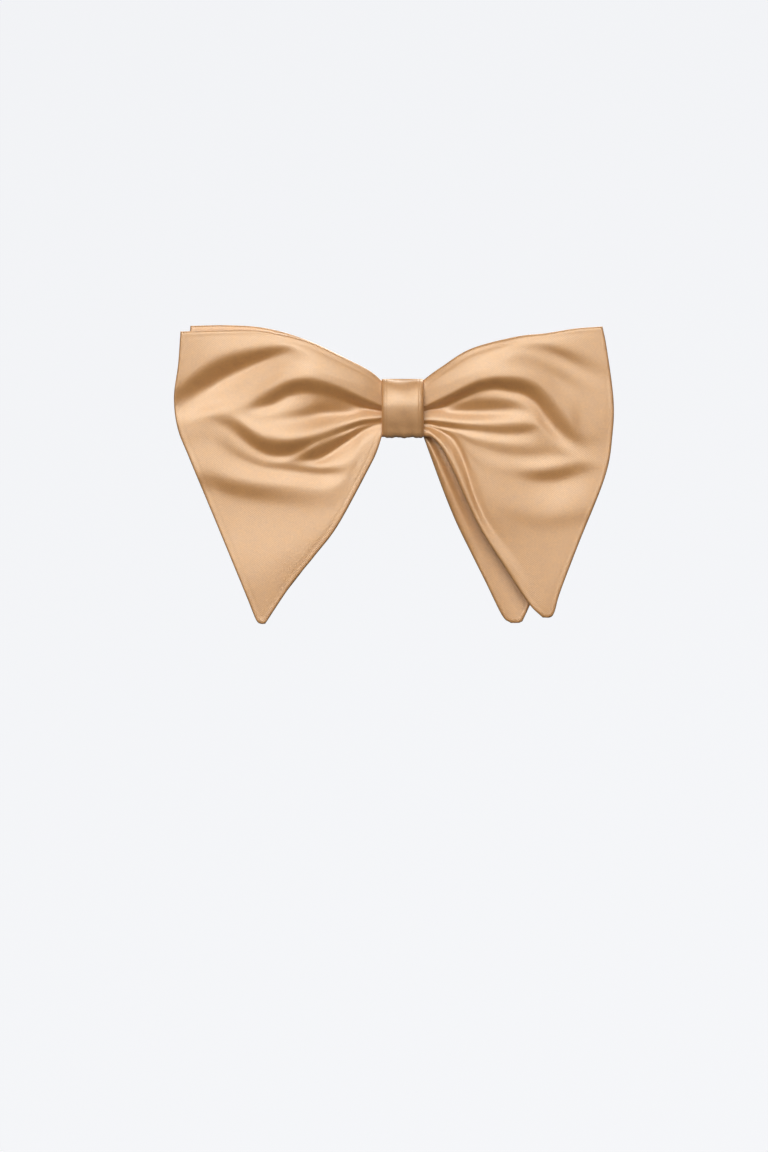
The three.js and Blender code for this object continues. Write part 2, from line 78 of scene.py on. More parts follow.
def make_mesh(name, points, faces, material, uv=None):
    """A smooth mesh from points in millimetres. uv is (along, across) for each point, in millimetres."""
    mesh = bpy.data.meshes.new(name)
    points = np.asarray(points, float) / 1000
    mesh.from_pydata(points.tolist(), [], [list(map(int, f)) for f in faces])
    mesh.polygons.foreach_set("use_smooth", [True] * len(mesh.polygons))
    if uv is not None:
        layer = mesh.uv_layers.new(name="cloth")
        loops = np.zeros(len(mesh.loops), np.int32)
        mesh.loops.foreach_get("vertex_index", loops)
        layer.data.foreach_set("uv", np.asarray(uv, float)[loops].ravel())
    mesh.update()
    obj = bpy.data.objects.new(name, mesh)
    bpy.context.collection.objects.link(obj)
    mesh.materials.append(material)
    return obj


def shell(front, back):
    """Points and faces of a closed sheet between two grids of points, each rows x columns x 3."""
    rows, columns, _ = front.shape
    points = np.concatenate([front.reshape(-1, 3), back.reshape(-1, 3)])
    index = np.arange(rows * columns).reshape(rows, columns)
    other = index + rows * columns

    def quads(grid):
        return np.stack([grid[:-1, :-1], grid[1:, :-1], grid[1:, 1:], grid[:-1, 1:]], -1).reshape(-1, 4)

    rim = np.concatenate([index[0, :-1], index[:-1, -1], index[-1, :0:-1], index[:0:-1, 0]])
    after, behind = np.roll(rim, -1), rim + rows * columns
    sides = np.stack([rim, after, np.roll(behind, -1), behind], -1)
    return points, np.concatenate([quads(index), quads(other)[:, ::-1], sides])


def outward(points, faces):
    """The faces, turned round if they point into the solid."""
    a, b, c = (points[faces[:, i]] for i in (0, 1, 2))
    d = points[faces[:, -1]]
    volume = (a * np.cross(b, c)).sum() + (a * np.cross(c, d)).sum()
    return faces[:, ::-1] if volume < 0 else faces


def ring_faces(count, sides, closed):
    """Faces of a tube made of count rings of points, each of sides points."""
    faces = []
    for i in range(count if closed else count - 1):
        following = (i + 1) % count * sides
        for j in range(sides):
            k = (j + 1) % sides
            faces.append((i * sides + j, i * sides + k, following + k, following + j))
    return faces


def unit(vectors):
    """The vectors at a length of 1."""
    return vectors / np.linalg.norm(vectors, axis=-1, keepdims=True)


def directions(line, closed=False):
    """The unit direction at each point of a line."""
    return unit(np.roll(line, -1, 0) - np.roll(line, 1, 0) if closed else np.gradient(line, axis=0))


def lengths_along(path):
    """How far along a path each of its points is."""
    return np.concatenate([[0], np.cumsum(np.linalg.norm(np.diff(path, axis=0), axis=1))])


def eased(t):
    """A smooth step from 0 to 1."""
    return t * t * (3 - 2 * t)


def spline(points, count):
    """count points evenly spaced along a smooth curve through the points, in any number of dimensions."""
    p = np.asarray(points, float)
    p = np.vstack([2 * p[0] - p[1], p, 2 * p[-1] - p[-2]])
    fine = []
    for i in range(1, len(p) - 2):
        t = np.linspace(0, 1, 24, endpoint=False)[:, None]
        a, b, c, d = p[i - 1 : i + 3]
        bend = (2 * a - 5 * b + 4 * c - d) * t**2
        fine.append(0.5 * (2 * b + (c - a) * t + bend + (3 * b - a - 3 * c + d) * t**3))
    fine = np.vstack([*fine, p[-2:-1]])
    along = lengths_along(fine[:, :2])
    even = np.linspace(0, along[-1], count)
    return np.stack([np.interp(even, along, fine[:, i]) for i in range(fine.shape[1])], 1)


# ---- Materials ----

TWILL_LEAN = 1.4  # how much the twill's ribs lean across the cloth
TWILL_PHASE = 8.0  # radians of the ribs for each millimetre
THREAD_PHASE = 21.0  # radians of the floating threads for each millimetre
STITCH_PITCH = 2.3
STITCH_GAP = 0.28  # the share of a stitch's pitch where no thread shows
STITCH_HALF = 0.16
FURROW_HALF = 0.34
LINING_PHASE = 9000.0  # radians of the interlining's weave for each metre
BAND_STITCH_INSET = 1.0  # from a strip's edge to its row of stitches
STRAP_STITCH_INSET = 1.4

class Nodes:
    """Short names for building a material's node tree."""

    def __init__(self, name):
        self.material = bpy.data.materials.new(name)
        self.material.use_nodes = True
        self.tree = self.material.node_tree
        self.shader = self.tree.nodes["Principled BSDF"]

    def add(self, kind, **settings):
        node = self.tree.nodes.new(kind)
        for key, value in settings.items():
            setattr(node, key, value)
        return node

    def link(self, value, socket):
        if isinstance(value, bpy.types.NodeSocket):
            self.tree.links.new(value, socket)
        else:
            socket.default_value = value

    def math(self, operation, *values, clamp=False):
        node = self.add("ShaderNodeMath", operation=operation, use_clamp=clamp)
        for value, socket in zip(values, node.inputs):
            self.link(value, socket)
        return node.outputs[0]

    def mix(self, factor, a, b):
        node = self.add("ShaderNodeMix", data_type="RGBA")
        self.link(factor, node.inputs["Factor"])
        self.link(a, node.inputs["A"])
        self.link(b, node.inputs["B"])
        return node.outputs["Result"]

    def noise(self, vector, scale, detail=2.0):
        node = self.add("ShaderNodeTexNoise")
        self.link(vector, node.inputs["Vector"])
        node.inputs["Scale"].default_value = scale
        node.inputs["Detail"].default_value = detail
        return node.outputs["Fac"]

    def bump(self, height, strength, distance):
        """A normal bent by a height. distance is in metres."""
        node = self.add("ShaderNodeBump")
        node.inputs["Strength"].default_value = strength
        node.inputs["Distance"].default_value = distance
        self.link(height, node.inputs["Height"])
        return node.outputs[0]

    def set(self, **values):
        for key, value in values.items():
            self.link(value, self.shader.inputs[key.replace("_", " ")])


def near(nodes, value, centre, width):
    """1 where value is within width of centre, and 0 beyond twice that."""
    away = nodes.math("ABSOLUTE", nodes.math("SUBTRACT", value, centre))
    return nodes.math("SUBTRACT", 2.0, nodes.math("DIVIDE", away, width), clamp=True)


def satin(name, colour, deep, stitch_at=None):
    """Champagne satin with its fine twill and floating threads. deep is its colour between the threads, and
    also the painted shade in the furrows beside the stitches.

    stitch_at is the distance from the middle of a strip to its two rows of stitches, in millimetres."""
    n = Nodes(name)
    uv = n.add("ShaderNodeUVMap", uv_map="cloth").outputs["UV"]
    parts = n.add("ShaderNodeSeparateXYZ")
    n.link(uv, parts.inputs[0])
    along, across = parts.outputs[0], parts.outputs[1]
    leaning = n.math("ADD", along, n.math("MULTIPLY", across, TWILL_LEAN))
    ribs = n.math("SINE", n.math("MULTIPLY", leaning, TWILL_PHASE))
    threads = n.math("SINE", n.math("MULTIPLY", across, THREAD_PHASE))
    weave = n.math("ADD", n.math("MULTIPLY", ribs, 0.6), n.math("MULTIPLY", threads, 0.4))
    slubs = n.noise(uv, 0.35, 3.0)
    grain = n.noise(uv, 1.7, 4.0)
    depth = n.math("ADD", n.math("MULTIPLY", weave, 0.5), n.math("MULTIPLY", grain, 1.2))
    shade = n.math("ADD", 0.5, n.math("MULTIPLY", n.math("SUBTRACT", slubs, 0.5), 0.9))
    shade = n.math("ADD", shade, n.math("MULTIPLY", n.math("SUBTRACT", grain, 0.5), 1.4))
    tone = n.mix(n.math("ADD", shade, n.math("MULTIPLY", weave, 0.22), clamp=True), deep, colour)
    rough = n.math("ADD", 0.49, n.math("MULTIPLY", slubs, 0.12))
    if stitch_at:
        row = near(n, n.math("ABSOLUTE", across), stitch_at, STITCH_HALF)
        dash = n.math("GREATER_THAN", n.math("FRACT", n.math("DIVIDE", along, STITCH_PITCH)), STITCH_GAP)
        stitch = n.math("MULTIPLY", row, dash)
        furrow = near(n, n.math("ABSOLUTE", across), stitch_at, FURROW_HALF)
        raised = n.math("SUBTRACT", n.math("MULTIPLY", stitch, 5.0), n.math("MULTIPLY", furrow, 4.0))
        depth = n.math("ADD", depth, raised)
        # painted shade: the furrows beside the stitches are darkened towards deep, but not under the stitches
        # themselves
        shadow = n.math("MULTIPLY", n.math("SUBTRACT", furrow, stitch), 0.3, clamp=True)
        tone = n.mix(shadow, tone, deep)
    normal = n.bump(depth, 0.22, 0.00011)
    tangent = n.add("ShaderNodeTangent", direction_type="UV_MAP", uv_map="cloth")
    n.set(Base_Color=tone, Roughness=rough, Metallic=0.08, Normal=normal, Tangent=tangent.outputs[0])
    n.set(Anisotropic=0.35, Sheen_Weight=0.15, Sheen_Roughness=0.4, Sheen_Tint=(1.0, 0.86, 0.66, 1))
    n.set(IOR=2.1, Specular_IOR_Level=1.0, Specular_Tint=(1.0, 0.97, 0.84, 1))
    return n.material


def lining_cloth(name):
    """Plain woven interlining: unbleached threads, over and under."""
    n = Nodes(name)
    where = n.add("ShaderNodeTexCoord").outputs["Object"]
    parts = n.add("ShaderNodeSeparateXYZ")
    n.link(where, parts.inputs[0])
    warp = n.math("SINE", n.math("MULTIPLY", parts.outputs[0], LINING_PHASE))
    weft = n.math("SINE", n.math("MULTIPLY", parts.outputs[2], LINING_PHASE))
    weave = n.math("MULTIPLY", warp, weft)
    fuzz = n.noise(where, 1500.0)
    shade = n.math("ADD", n.math("MULTIPLY", weave, 0.25), fuzz, clamp=True)
    tone = n.mix(shade, (0.40, 0.28, 0.15, 1), (0.62, 0.47, 0.29, 1))
    n.set(Base_Color=tone, Roughness=0.9, Normal=n.bump(weave, 0.4, 0.0001), Sheen_Weight=0.3)
    return n.material


def thread_material(name):
    """Polyester sewing thread, with its twist and a slight sheen."""
    n = Nodes(name)
    where = n.add("ShaderNodeTexCoord").outputs["Object"]
    twist = n.add("ShaderNodeTexWave", bands_direction="DIAGONAL")
    n.link(where, twist.inputs["Vector"])
    twist.inputs["Scale"].default_value = 900.0
    twist.inputs["Distortion"].default_value = 1.5
    tone = n.mix(twist.outputs["Fac"], (0.42, 0.26, 0.12, 1), (0.70, 0.49, 0.28, 1))
    normal = n.bump(twist.outputs["Fac"], 0.5, 0.00008)
    n.set(Base_Color=tone, Roughness=0.5, Normal=normal, Sheen_Weight=0.4)
    return n.material


def plated_metal(name):
    """Pale gold plate, brushed along, with worn and dulled patches."""
    n = Nodes(name)
    where = n.add("ShaderNodeTexCoord").outputs["Object"]
    stretch = n.add("ShaderNodeMapping")
    stretch.inputs["Scale"].default_value = (250.0, 1800.0, 1800.0)
    n.link(where, stretch.inputs["Vector"])
    brushed = n.noise(stretch.outputs[0], 1.0, 4.0)
    worn = n.noise(where, 300.0, 5.0)
    tone = n.mix(worn, (0.66, 0.47, 0.22, 1), (0.90, 0.74, 0.46, 1))
    rough = n.math("ADD", 0.16, n.math("MULTIPLY", worn, 0.22))
    n.set(Base_Color=tone, Roughness=rough, Metallic=1.0, Normal=n.bump(brushed, 0.07, 0.00005))
    return n.material


CHAMPAGNE = (0.65, 0.298, 0.072, 1)
CARAMEL = (0.48, 0.195, 0.046, 1)
leaf_satin = satin("leaf_satin", CHAMPAGNE, CARAMEL)
band_satin = satin("band_satin", CHAMPAGNE, CARAMEL, stitch_at=KNOT_HALF_WIDTH - BAND_STITCH_INSET)
strap_satin = satin("strap_satin", CHAMPAGNE, CARAMEL, stitch_at=STRAP_HIGH[2] - STRAP_STITCH_INSET)
lining = lining_cloth("interlining_cloth")
thread = thread_material("sewing_thread")
gilt = plated_metal("plated_metal")

# ---- Leaves ----
# Outlines are (x, z) from the knot's centre. cut is the flat cloth's width, length and area. layer is y where
# the leaf lies in the knot, and outer_y is y at its outer edge. A relief is a list of lines that run out from
# the knot, from the leaf's top edge down: (sharpness, [(distance out, z, height)...]). Sharpness is 0 for a
# soft roll and about 1 for a crease, and height is how far the cloth stands forward.

FRONT_LEFT_RELIEF = [
    (0, [(6, 8.5, 0.8), (10, 11.5, 2), (19, 16, 3.4), (28, 20, 4.1), (37, 22.2, 4.2), (45, 23.2, 4.3),
        (68, 23, 4.2)]),
    (0, [(6, 7, 1.3), (12, 9.6, 3.2), (20, 12.6, 4.6), (28, 16.6, 5), (34, 18.2, 5), (40, 17.9, 4.9),
        (50, 16.2, 4.8), (55, 14.6, 4.7), (60, 11.8, 4.4), (68, 5.4, 3.6)]),
    (0.5, [(6, 6.4, 1.5), (12, 8.4, 3.5), (20, 11.4, 4.9), (28, 15.4, 5.2), (32, 16.6, 4.9), (36, 16, 4),
        (40, 14.4, 2.9), (45, 12.4, 2), (50, 10.2, 1.5), (55, 7.5, 1.3), (60, 4.6, 1.6), (68, 0.5, 2.5)]),
    (0, [(6, 5.4, 1.7), (12, 7.4, 3.7), (20, 10.4, 5.1), (28, 14, 5.3), (34, 14.4, 4.7), (40, 12.2, 3.6),
        (46, 9.2, 2.7), (52, 6.2, 2.1), (60, 2, 2), (68, -1.4, 2.6)]),
    (0, [(6, 4.6, 1.75), (12, 6.4, 3.8), (20, 9.6, 5.4), (28, 12.2, 5.7), (34, 12.2, 4.9), (40, 9.6, 3.8),
        (46, 6.2, 3), (52, 3, 2.4), (60, -0.2, 2.3), (68, -2.6, 2.7)]),
    (0, [(6, 0.6, 1.9), (12, 3.3, 3.8), (18, 6.3, 5.1), (24, 8.4, 5.8), (29, 9, 6.2), (35, 7.8, 5.6),
        (40, 5.2, 4.8), (43, 3.2, 4.2), (46, 0.8, 3.8), (50, -0.6, 3.5), (54, -0.8, 3.4), (60, -2, 3.2),
        (68, -4, 3)]),
    (1.1, [(6, -0.6, -0.5), (12, 0.7, -0.3), (18, 2.7, 1.6), (24, 4.4, 2.8), (29, 5, 3), (34, 4, 2.7),
        (38, 1.4, 2.5), (42, 0.3, 3), (46, -0.4, 3.6), (50, -1, 3.5), (60, -2.4, 3.2), (68, -4.4, 3)]),
    (0, [(6, -0.75, -0.5), (12, 0.1, -0.35), (18, 1.2, 1.1), (24, 1.6, 2.2), (30, 0, 3.1), (36, -1.4, 3.5),
        (42, -2, 3.9), (50, -1.4, 3.5), (60, -2.8, 3.2), (68, -4.8, 3)]),
    (0.5, [(6, -1.5, -0.1), (12, -0.9, 0.15), (18, -1.1, 0.5), (24, -1.3, 1.1), (30, -2.4, 2.6),
        (36, -3, 3.5), (42, -3.2, 3.9), (50, -1.8, 3.5), (60, -3.2, 3.2), (68, -5.2, 3)]),
    (0, [(6, -2.6, 0.4), (12, -3.5, 1.3), (18, -5.3, 2.2), (24, -7.4, 3.7), (30, -8.8, 4.8), (36, -9.2, 5),
        (42, -8, 4.8), (46, -5.2, 4.4), (50, -2.2, 3.7), (54, -1.8, 3.4), (60, -3.8, 3.2), (68, -6, 3)]),
    (1, [(6, -4, -0.5), (12, -4.8, -0.4), (18, -7.2, 0.9), (22, -8.7, 2.3), (26, -10.3, 2.8),
        (30, -12.4, 1.8), (35, -13.8, 1.4), (40, -13.4, 1.5), (44, -11.3, 1.9), (48, -8.3, 2.3),
        (52, -5.2, 2.7), (56, -3.6, 3), (62, -5, 3.1), (68, -7, 3)]),
    (0, [(6, -4.2, -0.4), (12, -4.9, 0.3), (16, -6.7, 1.3), (22, -9.1, 2.8), (27, -11.2, 3.5),
        (31, -13.6, 2.3), (35, -15.3, 2.1), (40, -15, 2.2), (45, -13.2, 2.6), (50, -9.8, 2.9),
        (54, -6.6, 3.1), (58, -5, 3.2), (62, -6, 3.2), (68, -8, 3)]),
    (1, [(6, -4.5, -0.5), (9, -5.1, -0.5), (12, -6.6, -0.5), (18, -10.4, -0.5), (22, -13.2, -0.3),
        (25, -14.7, 0.3), (29, -15.1, 1.3), (33, -15.7, 1.9), (38, -15.6, 2.1), (45, -13.8, 2.5),
        (50, -10.4, 2.9), (56, -6.4, 3.1), (62, -6.6, 3.2), (68, -8.6, 3)]),
    (0, [(6, -6, 0.2), (12, -10, 0.7), (16, -16.4, 1.4), (22, -17.4, 1.4), (28, -16.9, 1.8),
        (34, -16.2, 2.1), (40, -15.9, 2.3), (45, -14.3, 2.6), (50, -11.2, 2.9), (54, -8.2, 3.1),
        (58, -7, 3.2), (68, -10, 3.1)]),
    (0.6, [(6, -6.6, 0.3), (12, -11.5, 0.9), (16, -17.8, 1.4), (22, -19, 0.8), (28, -18.7, 1.1),
        (34, -17.9, 1.4), (40, -17.1, 1.7), (45, -15.9, 2.1), (50, -13.6, 2.5), (54, -10.8, 3),
        (58, -8.8, 3.15), (68, -12, 3.1)]),
    (0, [(6, -7.2, 0.4), (12, -13.5, 1), (18, -22, 1.6), (24, -24, 2), (30, -23.2, 2.4), (38, -22.4, 2.9),
        (45, -21.6, 3.4), (52, -20.2, 3.7), (58, -18.4, 3.6), (68, -20, 3.4)]),
    (0.2, [(6, -7.8, 0.4), (12, -15.5, 1.1), (18, -27, 1.6), (26, -29, 1.9), (34, -28.5, 2), (42, -27.5, 2),
        (50, -26, 2.2), (58, -23.8, 2.7), (68, -26, 3)]),
    (0, [(6, -8.3, 0.4), (12, -18.5, 1.2), (20, -33, 1.9), (28, -41, 2.5), (36, -47, 2.9), (44, -51, 3.2),
        (60, -46, 3.4), (68, -42, 3.4)]),
    (0, [(6, -8.8, 0.4), (12, -22, 1.2), (20, -36.5, 1.9), (28, -46.5, 2.4), (36, -57, 2.7), (42, -64, 2.8),
        (68, -65, 2.8)]),
]
FRONT_RIGHT_RELIEF = [
    (0, [(6, 8.7, 0.8), (11.6, 12.5, 2), (20.3, 17.8, 3.4), (33.5, 21.3, 4.1), (42.2, 22.3, 4.2),
        (51, 23.7, 4.1), (64, 24.5, 4)]),
    (0, [(6, 7, 1.3), (12, 9.8, 3.2), (20, 14, 4.6), (28, 17, 5.1), (34, 18.8, 5), (41, 18.9, 4.8),
        (46, 18, 4.7), (51, 16.6, 4.4), (56, 14.6, 4.1), (64, 12, 3.9)]),
    (0.2, [(6, 6.2, 1.5), (12, 8.6, 3.5), (20, 12.4, 5), (28, 15.4, 5.4), (34, 17.4, 5.1), (41, 17, 4.5),
        (46, 15.4, 3.9), (51, 12.8, 3.7), (56, 10.6, 3.8), (64, 9, 3.8)]),
    (0, [(6, 5.6, 1.6), (12, 7.6, 3.7), (20, 11.2, 5.3), (28, 13.8, 5.7), (34, 16.2, 5.4), (40, 14.6, 4.9),
        (46, 11.8, 4.4), (52, 8.4, 4), (58, 5, 3.9), (64, 4, 3.8)]),
    (0.1, [(6, 5, 1.7), (12, 6.8, 3.8), (20, 10.2, 5.5), (28, 12.4, 5.9), (34, 13.4, 5.5), (40, 11.8, 4.8),
        (46, 8.8, 4.1), (52, 5.4, 3.9), (58, 2.5, 3.9), (64, 2, 3.8)]),
    (0, [(6, 0.4, 1.9), (12, 3.2, 3.8), (18, 6.3, 5.2), (22, 8, 5.8), (29, 9.2, 6.3), (36, 8.8, 6),
        (41, 6.8, 5.4), (44, 3.9, 5.1), (47, 0.1, 4.9), (50, -3.9, 4.6), (53, -7.4, 3.9), (58, -8, 3.7),
        (64, -5.6, 3.6)]),
    (1.1, [(6, -0.8, -0.5), (12, 0.8, -0.3), (18, 3.4, 1.3), (22, 5.3, 2.6), (27, 6.2, 3.1), (31, 5.4, 3),
        (35, 4.5, 2.7), (39, 2, 2.6), (42, -2, 2.6), (46, -6.5, 2.8), (50, -9.6, 3.2), (53, -10, 3.5),
        (58, -9, 3.6), (64, -7, 3.6)]),
    (0, [(6, -0.85, -0.4), (12, 0.3, -0.3), (18, 2.6, 1.5), (24, 3.4, 2.9), (30, 3.1, 3.5), (35, 1.6, 3.5),
        (39, -1.2, 3.3), (42, -4.6, 3), (46, -8.4, 3), (50, -10.6, 3.25), (56, -10.4, 3.5),
        (64, -8.6, 3.6)]),
    (0.5, [(6, -1.6, -0.05), (12, -0.8, 0.15), (18, -0.8, 0.5), (24, -0.7, 1.4), (30, -0.4, 2.5),
        (35, -0.3, 3.2), (39, -2.4, 3.4), (42, -5.6, 3.2), (46, -9.3, 3.1), (50, -11.4, 3.3),
        (56, -11.4, 3.5), (64, -10, 3.6)]),
    (0, [(6, -3.3, 0.6), (12, -3.8, 1.35), (18, -4.4, 2), (26, -4.6, 3.2), (34, -4.3, 3.9), (40, -4.6, 3.9),
        (44, -7.6, 3.5), (48, -11, 3.3), (52, -12.2, 3.4), (58, -12.6, 3.5), (64, -11.6, 3.6)]),
    (0.9, [(6, -4.3, -0.5), (12, -5.4, -0.3), (18, -6.2, 1.1), (24, -6.8, 2.2), (30, -7.4, 2.6),
        (36, -7, 3), (41, -6, 3.7), (46, -9.6, 3.5), (52, -12.8, 3.5), (58, -13.6, 3.5), (64, -13.2, 3.6)]),
    (0, [(6, -4.4, -0.2), (12, -5.8, 0.4), (16, -6.8, 1.2), (20, -8.3, 2.2), (24, -9.3, 2.7),
        (30, -10.3, 3.15), (38, -10.8, 3.4), (46, -11.2, 3.6), (52, -13.4, 3.5), (58, -14.6, 3.5),
        (64, -14.8, 3.6)]),
    (0.1, [(6, -4.45, -0.2), (12, -5.9, 0.4), (16, -7.2, 1.1), (20, -10.2, 1.9), (24, -11.7, 2.4),
        (30, -13.3, 2.7), (38, -14, 2.95), (46, -13.4, 3.35), (52, -14.2, 3.6), (58, -15.4, 3.55),
        (64, -16.2, 3.6)]),
    (0, [(6, -4.5, -0.2), (12, -5.95, 0.4), (16, -7.6, 1), (20, -13, 1.9), (26, -16.5, 2.7),
        (34, -17.8, 3.1), (40, -18, 3.6), (46, -17.2, 3.8), (52, -15.8, 3.75), (57, -16.2, 3.6),
        (64, -17, 3.5)]),
    (0.7, [(6, -4.55, -0.2), (12, -6, 0.4), (16, -7.9, 1), (20, -14.5, 1.8), (26, -19, 2.65),
        (34, -20.4, 2.85), (40, -21, 2.5), (46, -20.7, 2.4), (52, -19.2, 2.9), (57, -18.2, 3.4),
        (64, -19, 3.5)]),
    (0, [(6, -4.58, -0.2), (12, -6.05, 0.4), (16, -8.2, 1), (20, -16, 1.8), (26, -25, 2.6), (34, -29.4, 3),
        (42, -31, 3.2), (50, -30, 3.4), (64, -26, 3.5)]),
    (0, [(6, -4.6, -0.2), (12, -6.1, 0.4), (16, -8.5, 0.9), (20, -17, 1.7), (26, -30, 2.4), (34, -34, 2.6),
        (42, -36, 2.8), (50, -35, 3), (64, -32, 3.3)]),
    (0.6, [(6, -4.7, -0.3), (9, -5.4, -0.3), (12, -6.6, -0.2), (15, -9, 0.3), (18, -15, 0.9),
        (20, -22, 1.3), (22.5, -29, 1.6), (26, -35.5, 1.8), (32, -43, 2), (42, -54, 2.4), (50, -50, 2.8),
        (64, -45, 3)]),
    (0, [(6, -5.7, 0.6), (9, -7.8, 1.2), (12, -10.8, 1.8), (15, -15.6, 2.2), (18, -22.6, 2.5),
        (22, -31.4, 2.6), (26, -38.6, 2.6), (32, -47, 2.5), (42, -60, 2.2), (64, -50, 2.8)]),
    (0.3, [(6, -8.7, 0), (8.6, -9.2, 0.6), (11.6, -12.8, 1.2), (15.1, -19.8, 1.5), (18.6, -27.7, 1.7),
        (23, -36.5, 1.8), (29.1, -46, 1.9), (37, -58, 1.8), (41, -62.5, 1.8), (64, -63, 2)]),
]
BACK_LEFT_RELIEF = [
    (0, [(6, 8.5, 0), (19, 16, 0.2), (41, 24, 0.3), (68, 25, 0.3)]),
    (0, [(6, 5, 0.4), (20, 9, 0.6), (40, 16, 0.9), (68, 15, 0.5)]),
    (0.3, [(6, 1, 0), (20, 3, -0.6), (40, 8, -0.8), (68, 8, 0)]),
    (0, [(6, -3, 0.4), (20, -6, 0.6), (40, -8, 0.8), (68, -10, 0.4)]),
    (0.3, [(6, -6, 0), (20, -16, -0.5), (40, -26, -0.6), (68, -26, 0)]),
    (0, [(6, -9, 0), (20, -36, 0.2), (42, -62, 0.2), (68, -62, 0.2)]),
]
BACK_RIGHT_RELIEF = [
    (0, [(6, 8.5, 0), (20, 17.5, 0.2), (40, 22, 0.3), (64, 24, 0.3)]),
    (0, [(6, 5, 0.4), (20, 9, 0.6), (40, 16, 0.9), (64, 15, 0.5)]),
    (0.3, [(6, 1, 0), (20, 3, -0.6), (40, 8, -0.8), (64, 8, 0)]),
    (0, [(6, -3, 0.4), (20, -6, 0.6), (40, -8, 0.8), (64, -10, 0.4)]),
    (0.6, [(6, -7, -0.3), (9, -9.5, -0.2), (13, -17, 0), (17, -26, 0), (22, -36, 0), (30, -50, 0.1),
        (36, -60, 0.2), (64, -50, 0.2)]),
    (0, [(6, -7.6, 0.6), (9, -12.5, 1.3), (13, -22, 1.5), (17, -31, 1.2), (22, -42, 0.8), (30, -57, 0.5),
        (36, -62, 0.4), (64, -56, 0.3)]),
    (0.5, [(6, -9, 0), (8.5, -15.2, 0.1), (12.4, -25.8, 0.1), (16, -34.5, 0.1), (20.3, -43.3, 0.1),
        (29.6, -62, 0.1), (64, -64, 0.1)]),
]
LEAVES = {
    "front_left": {
        "cut": (64, 92, 3900),
        "top": [(-6.4, 8.3), (-10.3, 11.4), (-19.1, 15.8), (-27.9, 19.8), (-36.6, 22), (-45.4, 23.1),
            (-65.5, 22.6)],
        "outer": [(-66.2, 13), (-67.5, 3), (-66.4, -6), (-62.9, -15), (-54.2, -36), (-46.3, -55.2),
            (-43.4, -62.4), (-42, -63.7), (-40.6, -63.7)],
        "lower": [(-6.2, -8.6), (-7.7, -13.1), (-10.3, -18.4), (-19.1, -34.6), (-26.1, -43.8),
            (-33.1, -52.5)],
        "relief": FRONT_LEFT_RELIEF,
        "layer": FRONT_LAYER_Y,
        "outer_y": -8.0,
    },
    "front_right": {
        "cut": (58, 92, 3500),
        "top": [(6.4, 8.5), (11.6, 12.3), (20.3, 17.6), (33.5, 21.1), (42.2, 22.1), (51, 23.5),
            (58.9, 24.1)],
        "outer": [(60.2, 17.6), (62.2, 2.7), (61.9, -8), (59.8, -20.1), (51.9, -40.3), (46.6, -54.3),
            (45, -60), (43.8, -61.8), (41.4, -61.9)],
        "lower": [(6.2, -8.4), (8.6, -8.8), (11.6, -12.2), (15.1, -19.2), (18.6, -27.1), (23, -35.9),
            (29.1, -45.5), (37, -57.4)],
        "relief": FRONT_RIGHT_RELIEF,
        "layer": FRONT_LAYER_Y,
        "outer_y": -8.0,
    },
    "back_left": {
        "cut": (60, 88, 3500),
        "top": [(-6.4, 8.3), (-10, 11), (-19, 15.9), (-30, 20.8), (-41, 23.8), (-52, 24.6), (-62.9, 24.4)],
        "outer": [(-64.5, 1), (-56, -25.4), (-42, -59), (-41, -60.5), (-39.5, -60.5)],
        "lower": [(-6.2, -8.6), (-10.1, -18), (-18.5, -33), (-31, -50)],
        "relief": BACK_LEFT_RELIEF,
        "layer": BACK_LAYER_Y,
        "outer_y": -3.2,
    },
    "back_right": {
        "cut": (56, 90, 3500),
        "top": [(6.4, 8.3), (11, 11.8), (20, 17), (33.5, 20.6), (57, 23)],
        "outer": [(59.5, -1), (50, -31), (38.5, -57), (36.3, -61.8), (35.2, -63.6), (32.2, -63.8)],
        "lower": [(6.2, -8.6), (8.5, -14.9), (12.4, -25.4), (16, -34.1), (20.3, -42.9), (24.7, -51.7),
            (29.6, -61.6)],
        "relief": BACK_RIGHT_RELIEF,
        "layer": BACK_LAYER_Y,
        "outer_y": -3.2,
    },
}

ROOT_X = KNOT_HALF_WIDTH - 0.6
ROOT_TOP_Z, ROOT_LOW_Z = 7.3, -7.4
OUTLINE_POINTS = 600
HALF_LEAF = 0.8  # from a leaf's middle to its outside
PANEL = 0.35  # one satin panel's thickness
LINING_HALF = 0.2
SEAM_ROUND = 0.6  # the sewn edge rounds off over this distance
SEAM_DIP, SEAM_INSET, SEAM_WIDTH = 0.05, 1.7, 0.35  # the faint furrow beside the seam
OUTSIDE_EXTRA, INSIDE_GAP = 0.08, 0.01  # how far a panel's two sides are moved out
LEAST_GAP = 0.02  # between two lines of a relief
SMOOTHING = 6  # passes over a leaf's relief
FRONT_CELLS, BACK_CELLS = 150, 90  # points along each side of a leaf's grid


def rim_spaced(count):
    """Fractions from 0 to 1, with some close together at each end to shape the sewn edge."""
    rim = np.array([0, 0.0015, 0.004, 0.008])
    return np.concatenate([rim, np.linspace(0.014, 0.986, count - 8), 1 - rim[::-1]])


def sampled(curve, fractions):
    steps = np.linspace(0, 1, len(curve))
    return np.column_stack([np.interp(fractions, steps, curve[:, k]) for k in range(curve.shape[1])])


